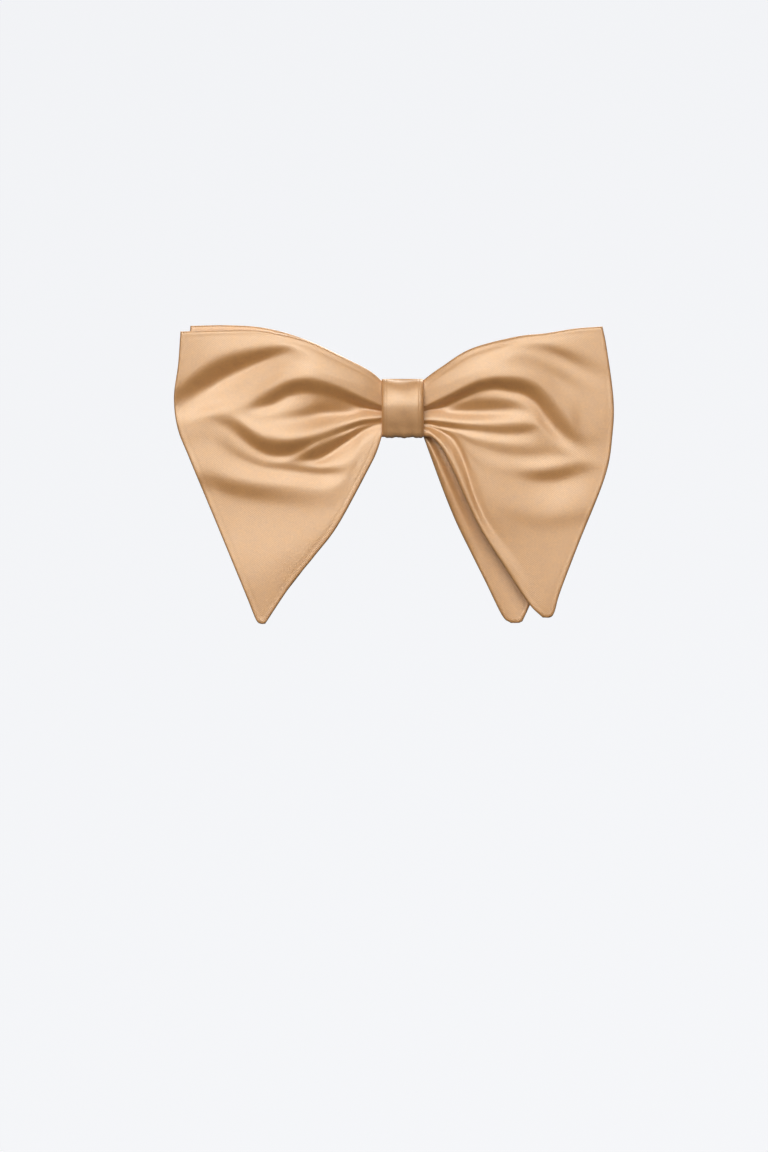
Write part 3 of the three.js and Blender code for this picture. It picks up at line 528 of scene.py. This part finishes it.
def leaf_grid(leaf, count):
    """(x, z) of a count x count grid over the leaf's outline, and how far out each column is, from 0 to 1.

    Columns run out from the knot, and rows run down."""
    side = math.copysign(1, leaf["top"][0][0])
    root_top, root_low = (side * ROOT_X, ROOT_TOP_Z), (side * ROOT_X, ROOT_LOW_Z)
    corner, tip = leaf["top"][-1], leaf["outer"][-1]
    steps = rim_spaced(count)
    top = sampled(spline([root_top, *leaf["top"]], OUTLINE_POINTS), steps)
    lower = sampled(spline([root_low, *leaf["lower"], tip], OUTLINE_POINTS), steps)
    outer = sampled(spline([corner, *leaf["outer"]], OUTLINE_POINTS), steps)
    u, v = steps[None, :, None], steps[:, None, None]
    root = np.array(root_top) * (1 - v) + np.array(root_low) * v
    corners = (1 - u) * root + u * ((1 - v) * np.array(corner) + v * np.array(tip))
    downwards = (1 - v) * top[None] + v * lower[None]
    return downwards + (1 - u) * root + u * outer[:, None] - corners, u[..., 0]


def smoothed(heights, passes):
    """The heights with each point moved towards its neighbours, passes times."""
    for _ in range(passes):
        for axis in (0, 1):
            padded = np.pad(heights, [(1, 1) if a == axis else (0, 0) for a in (0, 1)], mode="edge")
            before, after = (np.take(padded, range(k, k + heights.shape[axis]), axis) for k in (0, 2))
            heights = 0.5 * heights + 0.25 * (before + after)
    return heights


def relief(grid, lines):
    """How far forward each grid point stands, by a smooth curve down across the relief's lines."""
    x, z = np.abs(grid[..., 0]).ravel(), grid[..., 1].ravel()
    heights, levels = [], []
    for _, run in lines:
        fine = spline(run, 160)
        levels.append(np.interp(x, fine[:, 0], fine[:, 1]))
        heights.append(np.interp(x, fine[:, 0], fine[:, 2]))
    apart = LEAST_GAP * np.arange(len(lines))[:, None]
    levels = np.minimum.accumulate(np.array(levels) - apart, axis=0)
    heights = np.array(heights)
    gap = np.maximum(levels[:-1] - levels[1:], LEAST_GAP)
    drop = (heights[1:] - heights[:-1]) / gap
    slope = np.zeros_like(heights)
    same = drop[:-1] * drop[1:] > 0
    slope[1:-1] = np.where(same, 2 * drop[:-1] * drop[1:] / np.where(same, drop[:-1] + drop[1:], 1), 0)
    sharp = np.array([s for s, _ in lines])[:, None]
    above = slope.copy()
    above[1:] = slope[1:] * (1 - np.minimum(sharp[1:], 1)) + sharp[1:] * drop
    below = slope.copy()
    below[:-1] = slope[:-1] * (1 - np.minimum(sharp[:-1], 1)) + sharp[:-1] * drop
    band = np.clip((levels > z[None]).sum(0) - 1, 0, len(lines) - 2)
    pick = np.arange(len(x))
    t = np.clip((levels[band, pick] - z) / gap[band, pick], 0, 1)
    start, end, width = heights[band, pick], heights[band + 1, pick], gap[band, pick]
    curve = (2 * t**3 - 3 * t**2 + 1) * start + (3 * t**2 - 2 * t**3) * end
    curve += width * ((t**3 - 2 * t**2 + t) * below[band, pick] + (t**3 - t**2) * above[band + 1, pick])
    return curve.reshape(grid.shape[:2])


def edge_distance(grid):
    """Distance of each grid point from the leaf's sewn edges, which are all but its root."""
    rim = np.concatenate([grid[0], grid[1:-1, -1], grid[-1, ::-1]])
    flat = grid.reshape(-1, 2)
    return np.linalg.norm(flat[:, None] - rim[None], axis=2).min(1).reshape(grid.shape[:2])


def leaf_middle(leaf, grid, u):
    """y of the leaf's middle surface: it leaves the knot in its layer and follows its relief."""
    base = leaf["layer"] + (leaf["outer_y"] - leaf["layer"]) * eased(u)
    return base - smoothed(relief(grid, leaf["relief"]), SMOOTHING)


def leaf_sheet(name, y_near, y_far, grid, material, keep=None):
    """One closed layer of a leaf between two depths, over its grid. keep trims its rows and columns."""
    near_side = np.dstack([grid[..., 0], y_near, grid[..., 1]])
    far_side = np.dstack([grid[..., 0], y_far, grid[..., 1]])
    if keep:
        near_side, far_side = near_side[keep], far_side[keep]
    points, faces = shell(near_side, far_side)
    return make_mesh(name, points, outward(points, faces), material, points[:, [0, 2]])


def build_leaf(name, leaf, cells):
    """A leaf's face, lining and back."""
    grid, u = leaf_grid(leaf, cells)
    middle = leaf_middle(leaf, grid, u)
    distance = edge_distance(grid)
    puff = HALF_LEAF * np.sqrt(1 - (1 - np.clip(distance / SEAM_ROUND, 0, 1)) ** 2)
    puff = puff - SEAM_DIP * np.exp(-(((distance - SEAM_INSET) / SEAM_WIDTH) ** 2))
    outside = puff + OUTSIDE_EXTRA
    inside = np.maximum(puff - PANEL, 0) + INSIDE_GAP
    margin = cells // 14
    trim = (slice(margin, -margin), slice(0, -margin))
    low, high = middle - LINING_HALF, middle + LINING_HALF
    pieces = [
        leaf_sheet(f"{name}_face_cloth", middle - outside, middle - inside, grid, leaf_satin),
        leaf_sheet(f"{name}_lining_cloth", low, high, grid, lining, trim),
        leaf_sheet(f"{name}_back_cloth", middle + inside, middle + outside, grid, leaf_satin),
    ]
    for piece, node in zip(pieces, ("face_panel", "interlining", "back_panel")):
        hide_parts(f"{name}_{node}")
        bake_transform(piece)


for leaf_name, leaf in LEAVES.items():
    build_leaf(leaf_name, leaf, FRONT_CELLS if leaf_name.startswith("front") else BACK_CELLS)

# ---- Knot ----


def rounded_section(half_width, half_thickness, columns, thinnest):
    """Distances across a flat strip, and half its thickness at each, with its edges rounded."""
    across = half_width * np.sin(np.linspace(-math.pi / 2, math.pi / 2, columns))
    edge = np.clip((np.abs(across) - (half_width - half_thickness)) / half_thickness, 0, 1)
    return across, half_thickness * np.maximum(np.sqrt(1 - edge**2), thinnest)


def strip(name, path, normals, half_width, half_thickness, material, frame_of, columns, ripple):
    """A closed strip of cloth along a plane path.

    frame_of(points, across) turns plane points and a distance across into 3-D points.
    ripple(path, across) is how far each point is lifted."""
    across, half = rounded_section(half_width, half_thickness, columns, 0.06)
    lift = ripple(path, across)
    sides = []
    for sign in (1, -1):
        offset = lift + sign * half[None]
        plane = path[:, None] + normals[:, None] * offset[..., None]
        sides.append(frame_of(plane, np.broadcast_to(across, lift.shape)))
    points, faces = shell(*sides)
    along = lengths_along(path)
    uv = np.stack(np.broadcast_arrays(along[:, None], across[None]), -1).reshape(-1, 2)
    return make_mesh(name, points, outward(points, faces), material, np.tile(uv, (2, 1)))


def plane_normals(path):
    tangent = directions(path)
    return np.stack([-tangent[:, 1], tangent[:, 0]], 1)


def standing(plane, across):
    """Plane points are (y, z), and the strip's width runs along X."""
    return np.dstack([across, plane[..., 0], plane[..., 1]])


def level(plane, across):
    """Plane points are (x, y), and the strip's width runs along Z."""
    return np.dstack([plane[..., 0], plane[..., 1], across])


WRAP_INSET = 0.45  # from the outside of the CAD's band to the middle of the wrap
WRAP_LAP_INSET = 1.65  # the same for the wrap's inner end, behind the knot
WRAP_HALF = 0.42


def knot_band():
    """The wrapped satin band: plump in front, flat behind, its outer end sewn down over its inner end."""
    half = KNOT_HALF_HEIGHT - WRAP_INSET
    inner, outer = BAND_HIGH[1] - WRAP_LAP_INSET, BAND_HIGH[1] - WRAP_INSET
    front = BAND_LOW[1] + WRAP_INSET
    run = [
        (inner, 4.6), (inner, -2), (inner, -half + 1.6), (inner - 0.5, -half + 0.45), (inner - 1.7, -half),
        (-7, -half), (front + 2.4, -half), (front + 0.9, -half + 0.8), (front - 0.1, -half + 2.6),
        (front - 1.2, -3.4), (front - 2.1, -0.6), (front - 2.3, 1.6), (front - 1.7, 4),
        (front - 0.5, half - 2), (front + 1, half - 0.5), (front + 3.2, half), (-6.5, half),
        (outer - 1.6, half), (outer - 0.4, half - 0.5), (outer, half - 1.7), (outer, 2), (outer, -4.6),
    ]
    path = spline(run, 190)

    def ripple(path, across):
        """A pinch in the top, a rough lower edge, and in front a stitched furrow and sides that turn back."""
        top = np.exp(-(((path[:, 1] - half) / 2.2) ** 2)) * (path[:, 0] < -2.6)
        low = np.exp(-(((path[:, 1] + half) / 2.6) ** 2)) * (path[:, 0] < -2.6)
        front_face = np.clip((-9 - path[:, 0]) / 4, 0, 1)
        pinch = -0.55 * np.cos(math.pi * across / (2 * KNOT_HALF_WIDTH))
        rough = 0.14 * np.sin(1.5 * across + 0.8) + 0.09 * np.sin(3.7 * across)
        hollow = -0.06 * np.exp(-(((np.abs(across) - KNOT_HALF_WIDTH + BAND_STITCH_INSET) / 0.4) ** 2))
        hollow -= (np.abs(across) / KNOT_HALF_WIDTH) ** 16
        lift = top[:, None] * pinch[None] + low[:, None] * rough[None] + front_face[:, None] * hollow[None]
        return lift + front_face[:, None] * 0.07 * np.sin(0.8 * across[None] + 0.55 * path[:, 1:2])

    normals = plane_normals(path)
    centre = np.array([(inner + front) / 2, 0])
    normals *= np.sign(((path - centre) * normals).sum(1))[:, None]
    piece = strip("knot_wrap", path, normals, KNOT_HALF_WIDTH, WRAP_HALF, band_satin, standing, 31, ripple)
    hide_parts("knot_band")
    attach(piece, "knot")


def knot_pad():
    """The wadding that makes the knot plump."""
    low, high = box_mm("knot_padding")
    z, x = np.meshgrid(np.linspace(-1, 1, 33), np.linspace(-1, 1, 29), indexing="ij")
    swell = np.clip((1 - x**4) * (1 - z**4), 0, 1) ** 0.5
    lumps = 0.06 * np.sin(5 * x + 2 * z) * np.sin(4 * z - 3 * x)
    rear = high[1] - 0.02 - 0.2 * (1 - swell)
    front_side = np.dstack([x * high[0], rear - 0.05 - (high[1] - low[1] + 0.5 + lumps) * swell, z * high[2]])
    back_side = np.dstack([x * high[0], rear, z * high[2]])
    points, faces = shell(front_side, back_side)
    piece = make_mesh("knot_wadding", points, outward(points, faces), lining, points[:, [0, 2]])
    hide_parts("knot_padding")
    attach(piece, "knot")


def tube(centres, radius, sides=10, closed=False):
    """Points and faces of a round bar or thread along a line of points."""
    centres = np.asarray(centres, float)
    tangent = directions(centres, closed)
    leaning = [0.31, 0.12, 0.94]  # a direction that no line here follows
    first = unit(np.cross(tangent, leaning))
    second = np.cross(tangent, first)
    angle = np.linspace(0, 2 * math.pi, sides, endpoint=False)
    ring = first[:, None] * np.cos(angle)[None, :, None] + second[:, None] * np.sin(angle)[None, :, None]
    points = (centres[:, None] + radius * ring).reshape(-1, 3)
    faces, last = ring_faces(len(centres), sides, closed), (len(centres) - 1) * sides
    if not closed:
        faces += [tuple(range(sides))[::-1], tuple(range(last, last + sides))]
    return points, faces


def joined(parts):
    """Several (points, faces) as one."""
    points, faces, start = [], [], 0
    for p, f in parts:
        points.append(p)
        faces += [tuple(i + start for i in face) for face in f]
        start += len(p)
    return np.concatenate(points), faces


def rounded_loop(low, high, radius):
    """Points round a rectangle with rounded corners, in its own plane."""
    right, left, above, below = high[0] - radius, low[0] + radius, high[1] - radius, low[1] + radius
    steps, points = 8, []
    for quarter, (x, y) in enumerate([(right, above), (left, above), (left, below), (right, below)]):
        for i in range(steps + 1):
            angle = math.pi / 2 * (quarter + i / steps)
            points.append((x + radius * math.cos(angle), y + radius * math.sin(angle)))
    return np.array(points)


def gather_windings():
    """Turns of strong thread wound side by side round both gathers."""
    low, high = box_mm("gather_binding")
    inset, thread_radius = 0.3, 0.29
    loop = rounded_loop((low[1] + inset, low[2] + inset), (high[1] - inset, high[2] - inset), 0.7)
    turns = []
    for i, x in enumerate(np.linspace(low[0] + 0.4, high[0] - 0.4, 8)):
        lean = 0.12 * math.sin(2.1 * i)
        wander = x + lean * loop[:, 1] / high[2]
        turns.append(tube(np.column_stack([wander, loop]), thread_radius, closed=True))
    points, faces = joined(turns)
    piece = make_mesh("gather_windings", points, faces, thread)
    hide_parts("gather_binding")
    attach(piece, "knot")


def gather_pleats(name, low, high, node, phase):
    """The leaves' cloth drawn up into pleats where the knot holds it."""
    z, x = np.meshgrid(np.linspace(low[2], high[2], 97), np.linspace(low[0], high[0], 25), indexing="ij")
    pitch, furrow = 2.4, 0.42
    rounding = np.sqrt(np.clip(1 - (np.abs(z) / high[2]) ** 8, 0, 1))
    half = (high[1] - low[1]) / 2
    wave = 0.5 + 0.5 * np.cos(2 * math.pi * z / pitch + phase + 0.12 * np.sin(x))
    squeeze = 1 - 0.12 * np.exp(-((x / 3) ** 2))
    depth = (half - furrow * wave**2) * rounding * squeeze + 0.02
    middle = (low[1] + high[1]) / 2
    points, faces = shell(np.dstack([x, middle - depth, z]), np.dstack([x, middle + depth, z]))
    piece = make_mesh(name, points, outward(points, faces), leaf_satin, points[:, [0, 2]])
    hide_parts(node)
    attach(piece, "knot")


knot_band()
knot_pad()
gather_windings()
gather_pleats("front_pleats", FRONT_LOW, FRONT_HIGH, "front_gather", 0.4)
gather_pleats("back_pleats", BACK_LOW, BACK_HIGH, "back_gather", 1.9)

# ---- Neck strap ----
# Stations run along one side of the loop from the middle of the knot. The loop has a straight stretch at the
# knot and another at the closure, with half a circle between them.

STRAP_HALF = STRAP_HIGH[2]
STRAP_MIDDLE = 0.6  # from the strap's surface to the middle of its thickness
PLY = 1.5  # from one ply of strap to the next
FLAT = 13.0  # half the length of a straight stretch
RADIUS = STRAP_HIGH[0] - STRAP_MIDDLE - FLAT
STRAP_Y = STRAP_LOW[1] + STRAP_MIDDLE
HALF_LOOP = 2 * FLAT + math.pi * RADIUS
TAB_STATION = HALF_LOOP - 40  # where the tabs hinge
CLOTH_HALF = 0.52  # half the thickness of one ply
BEND = 5.0  # the strap bends over this length on each side of a tab's hinge
SETTLE = 6.0  # the two legs of a hairpin reach their places over this length
SPLIT = TAB_STATION - BEND - 1  # where the tabs' own cloth begins
EYE_BAR = HALF_LOOP - 9.5
HOOK_BAR = HALF_LOOP - 12.0
BAR_TURN = math.hypot(0.8, 0.7) + 0.9
ADJUSTER_STATION = 52.0
ADJUSTER_TURN = 1.5
ADJUSTER_BAR = -PLY - ADJUSTER_TURN  # how far out the adjuster's middle bar is
LOOP_OUTER_END, LOOP_INNER_END, RETURN_START = 63.1, 62.7, 63.15


def strap_point(station, offset, side):
    """A point on the strap's middle at this station, moved outwards from the neck by offset."""
    station, offset = np.broadcast_arrays(np.asarray(station, float), np.asarray(offset, float))
    turned = np.clip((station - FLAT) / RADIUS, 0, math.pi)
    past = np.maximum(station - FLAT - math.pi * RADIUS, 0)
    x = np.minimum(station, FLAT) + (RADIUS + offset) * np.sin(turned) - past
    y = STRAP_Y + RADIUS - (RADIUS + offset) * np.cos(turned)
    return np.stack([side * x, y], -1)


def hairpin(side, bar, bar_offset, radius, legs, outer_end, outer_far, inner_end, inner_far):
    """The strap's route down to a bar, round it and back. legs is -1 where they lead back to the knot."""

    def ease(station):
        return eased(np.clip(np.abs(station - bar) / SETTLE, 0, 1))

    out = np.linspace(outer_end, bar, 60)
    back = np.linspace(bar, inner_end, 60)
    outer = strap_point(out, bar_offset + radius + (outer_far - bar_offset - radius) * ease(out), side)
    inner = strap_point(back, bar_offset - radius + (inner_far - bar_offset + radius) * ease(back), side)
    centre = strap_point(bar, bar_offset, side)
    outwards = strap_point(bar, 1, side) - strap_point(bar, 0, side)
    onwards = strap_point(bar + 0.5, 0, side) - strap_point(bar - 0.5, 0, side)
    angle = np.linspace(0, math.pi, 26)[1:-1, None]
    turn = centre + radius * (outwards * np.cos(angle) - legs * onwards * np.sin(angle))
    return np.concatenate([outer, turn, inner])


def strap_piece(name, path, node, seed):
    """A length of folded satin strap: soft edges, faint puckers along its stitching."""

    def ripple(path, across):
        rows = np.exp(-(((np.abs(across) - STRAP_HALF + STRAP_STITCH_INSET) / 0.5) ** 2))[None]
        pucker = 0.05 * np.sin(lengths_along(path)[:, None] * 2.7 + seed) * rows
        return pucker - 0.05 * rows

    piece = strip(name, path, plane_normals(path), STRAP_HALF, CLOTH_HALF, strap_satin, level, 21, ripple)
    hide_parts(node)
    return piece


def straps():
    """The strap in one piece at the knot, its eye and hook tabs, its adjuster end and its return."""
    left = strap_point(np.linspace(SPLIT, 0, 220), 0, -1)
    right = strap_point(np.linspace(0, SPLIT, 220), 0, 1)[1:]
    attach(strap_piece("strap_band", np.concatenate([left, right]), "neck_strap", 0.3), "knot")

    eye = hairpin(-1, EYE_BAR, -PLY / 2, BAR_TURN, -1, SPLIT, 0, EYE_BAR - 11, -PLY)
    piece = strap_piece("eye_end", eye, "strap_eye_tab", 1.1)
    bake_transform(piece)

    hook = hairpin(1, HOOK_BAR, -PLY / 2, BAR_TURN, -1, SPLIT, 0, SPLIT, -PLY)
    piece = strap_piece("hook_end", hook, "strap_hook_tab", 2.3)
    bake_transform(piece)

    ends = (LOOP_OUTER_END, -PLY, LOOP_INNER_END, -2 * PLY)
    loop = hairpin(1, ADJUSTER_STATION, ADJUSTER_BAR, ADJUSTER_TURN, 1, *ends)
    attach(strap_piece("adjuster_end", loop, "strap_adjuster_loop", 3.2), "adjuster")

    run = strap_point(np.linspace(RETURN_START, SPLIT - 0.05, 200), -PLY, 1)
    piece = strap_piece("return_strap", run, "strap_return_run", 4.0)
    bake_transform(piece)


straps()

# ---- Stitches that hold the folded ends ----


def bartack(name, node, body):
    """A dense zigzag of thread across the strap."""
    low, high = box_mm(node)
    middle = (low + high) / 2
    outwards = unit(middle[:2] - np.array([math.copysign(FLAT, middle[0]), STRAP_Y + RADIUS]))
    onwards = np.array([-outwards[1], outwards[0]])
    turn, tall = np.arange(40), high[2] - 0.25
    z = np.linspace(-tall, tall, len(turn))
    zigzag = np.where(turn % 2 == 0, 1.15, -1.15)
    line = spline(np.column_stack([zigzag, z, 0.06 * np.cos(turn * 2.2)]), 420)
    where = middle[:2] + line[:, :1] * onwards + line[:, 2:] * outwards
    points, faces = tube(np.column_stack([where, line[:, 1]]), 0.17, 8)
    piece = make_mesh(name, points, faces, thread)
    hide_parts(node)
    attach(piece, body)


bartack("eye_end_stitches", "eye_tab_bartack", "eye_tab")
bartack("adjuster_end_stitches", "adjuster_loop_bartack", "adjuster")

# ---- Metal ----

METAL_Y = STRAP_Y + 2 * RADIUS - PLY / 2
BAR_WIDTH = 1.4
PLATE_HALF = 0.4


def swept_frame(low, high, depth):
    """A flat rectangular ring of bar with rounded edges, in the XZ plane. depth is its size along Y."""
    half = BAR_WIDTH / 2
    line = rounded_loop((low[0] + half, low[2] + half), (high[0] - half, high[2] - half), 1.0)
    fine = spline(np.vstack([line, line[:1]]), 160)[:-1]
    tangent = directions(fine, closed=True)
    normal = np.stack([tangent[:, 1], -tangent[:, 0]], 1)
    angle = np.linspace(0, 2 * math.pi, 20, endpoint=False)
    across = np.sign(np.cos(angle)) * np.abs(np.cos(angle)) ** 0.5 * half
    deep = np.sign(np.sin(angle)) * np.abs(np.sin(angle)) ** 0.5 * depth / 2
    plane = fine[:, None] + normal[:, None] * across[None, :, None]
    y = np.broadcast_to(METAL_Y + deep, plane.shape[:2])
    points = np.dstack([plane[..., 0], y, plane[..., 1]]).reshape(-1, 3)
    return points, ring_faces(len(fine), len(angle), closed=True)


def metal_strip(path, half_width, half_thickness):
    """A bent strip of plate, its width along Z."""
    across, half = rounded_section(half_width, half_thickness, 17, 0.15)
    wide = np.broadcast_to(across, (len(path), len(across)))
    offset = plane_normals(path)[:, None] * half[None, :, None]
    points, faces = shell(level(path[:, None] + offset, wide), level(path[:, None] - offset, wide))
    return points, [tuple(f) for f in outward(points, faces)]


def round_corner(before, corner, after, radius, steps):
    """Points that round off the corner between two neighbours."""
    a, b = unit(before - corner), unit(after - corner)
    return [corner + radius * (a * (1 - t) ** 2 + b * t**2) for t in np.linspace(0, 1, steps)]


def eye():
    low, high = box_mm("eye")
    piece = make_mesh("eye_ring", *swept_frame(low, high, high[1] - low[1]), gilt)
    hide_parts("eye")
    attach(piece, "eye")


def hook():
    """A ring for the strap, and a plate that leaves it and curls round a bar of the eye."""
    low, high = box_mm("hook")
    ring_low = 7.2
    ring = swept_frame((ring_low, 0, low[2]), high, BAR_WIDTH)
    plate_y, curl_y, tooth_x = high[1] - PLATE_HALF, low[1] + PLATE_HALF, low[0] + PLATE_HALF
    bar_x = ring_low + BAR_WIDTH / 2
    run = [(bar_x, METAL_Y), (bar_x, plate_y), (tooth_x, plate_y), (tooth_x, curl_y), (low[0] + 1.6, curl_y)]
    run = np.array(run)
    path = [run[0]]
    for before, corner, after in zip(run, run[1:], run[2:]):
        path += round_corner(before, corner, after, 0.55, 7)
    points, faces = joined([ring, metal_strip(np.array([*path, run[-1]]), 3.5, PLATE_HALF)])
    piece = make_mesh("hook_plate", points, faces, gilt)
    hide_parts("hook")
    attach(piece, "hook")


def adjuster():
    """Three bars between two end plates."""
    bar, plate = 0.6, 1.3  # the bars' radius and the plates' thickness
    outer = bar + 0.4 + bar
    reach = 5.5 - bar
    drop = RADIUS - math.sqrt(RADIUS**2 - reach**2)
    centre = strap_point(ADJUSTER_STATION, 0, 1)
    outwards = strap_point(ADJUSTER_STATION, 1, 1) - centre
    onwards = np.array([-outwards[1], outwards[0]])
    inside = box_mm("adjuster_slide")[1][2] - plate

    def place(along, offset):
        return centre + onwards * along + outwards * offset

    parts = []
    for along, offset in ((-reach, outer - drop), (reach, outer - drop), (0, ADJUSTER_BAR)):
        x, y = place(along, offset)
        z = np.linspace(-inside - 0.3, inside + 0.3, 9)
        parts.append(tube(np.column_stack([np.full(9, x), np.full(9, y), z]), bar, 20))
    end, high, low, tip = reach + bar, outer - drop + bar, outer - drop - bar, ADJUSTER_BAR - bar
    outline = [(-end, high), (end, high), (end, low), (1.2, tip), (-1.2, tip), (-end, low)]
    outline = np.array([place(*point) for point in outline])
    middle = outline.mean(0)
    corners = []
    for i, corner in enumerate(outline):
        corners += round_corner(outline[i - 1], corner, outline[(i + 1) % 6], 0.45, 5)
    corners, count = np.array(corners), len(corners)
    rounding = ((0.5, 0), (0.12, 0.04), (0, 0.22), (0, 1.08), (0.12, 1.26), (0.5, plate))
    for sign in (1, -1):
        rings = []
        for inset, z in rounding:
            ring = corners - unit(corners - middle) * inset
            rings.append(np.column_stack([ring, np.full(count, sign * (inside + z))]))
        last = (len(rings) - 1) * count
        faces = [face[::sign] for face in ring_faces(len(rings), count, closed=False)]
        faces += [tuple(range(count))[::-sign], tuple(range(last, last + count))[::sign]]
        parts.append((np.concatenate(rings), faces))
    points, faces = joined(parts)
    piece = make_mesh("adjuster_frame", points, faces, gilt)
    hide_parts("adjuster_slide")
    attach(piece, "adjuster")


eye()
hook()
adjuster()

# ---- Floor, light and camera ----

FLOOR = -800
FLOOR_REACH = 2000
WALL_CURVE = 1000
WALL_TOP = 2400


def studio_bowl():
    """A plain pale floor that curves up into a wall all round. It glows, but lights nothing."""
    n = Nodes("studio_paper")
    n.set(Base_Color=(0.2, 0.2, 0.2, 1), Roughness=0.9, Specular_IOR_Level=0.0)
    n.set(Emission_Color=(0.95, 0.96, 0.985, 1), Emission_Strength=0.9)
    profile = [(1200, FLOOR), (FLOOR_REACH, FLOOR)]
    for a in np.linspace(0.1, math.pi / 2, 12):
        profile.append((FLOOR_REACH + WALL_CURVE * math.sin(a), FLOOR + WALL_CURVE * (1 - math.cos(a))))
    profile.append((FLOOR_REACH + WALL_CURVE, WALL_TOP))
    around = 72
    turns = [2 * math.pi * i / around for i in range(around)]
    points = [(r * math.cos(turn), r * math.sin(turn), z) for r, z in profile for turn in turns]
    points.append((0, 0, FLOOR))
    faces = [(i, (i + 1) % around, len(points) - 1) for i in range(around)]
    faces += [face[::-1] for face in ring_faces(len(profile), around, closed=False)]
    bowl = make_mesh("studio_bowl", points, faces, n.material)
    bowl.visible_diffuse = bowl.visible_glossy = False


def area_light(name, location, target, size, power, colour, spread):
    data = bpy.data.lights.new(name, "AREA")
    data.spread = spread
    data.shape, data.size, data.size_y = "RECTANGLE", size[0], size[1]
    data.energy, data.color = power, colour
    obj = bpy.data.objects.new(name, data)
    obj.location = location
    obj.visible_camera = False
    obj.rotation_euler = (Vector(target) - Vector(location)).to_track_quat("-Z", "Y").to_euler()
    bpy.context.collection.objects.link(obj)


def studio():
    """A large softbox in front and above, a second one behind, and a dim pale world."""
    world = bpy.data.worlds.new("studio_world")
    bpy.context.scene.world = world
    world.use_nodes = True
    background = world.node_tree.nodes["Background"]
    background.inputs["Color"].default_value = (0.92, 0.95, 1.0, 1)
    background.inputs["Strength"].default_value = 0.10
    area_light("key_softbox", (-0.12, -0.95, 0.41), (0, 0, -0.02), (1.5, 1.2), 5.5, (1, 0.99, 0.96), 1.1)
    area_light("rear_softbox", (0.5, 1.3, 1.1), (0, 0.05, -0.02), (1.2, 1.0), 7.0, (0.97, 0.98, 1), 1.4)
    bpy.context.scene.view_settings.view_transform = "Standard"


def camera():
    """Level with the knot and aimed below it. The picture covers tall metres of the bow's plane."""
    data = bpy.data.cameras.new("camera")
    data.sensor_width = sensor = 36
    distance, bow_y, tall, below, left = 1.5, -0.01, 0.3404, 0.0496, 0.0055
    data.lens = sensor * (distance + bow_y) / tall
    obj = bpy.data.objects.new("camera", data)
    obj.location = (-left, -distance, 0)
    aim = Vector((-left, bow_y, -below)) - obj.location
    obj.rotation_euler = aim.to_track_quat("-Z", "Y").to_euler()
    bpy.context.collection.objects.link(obj)
    bpy.context.scene.camera = obj


studio_bowl()
studio()
camera()
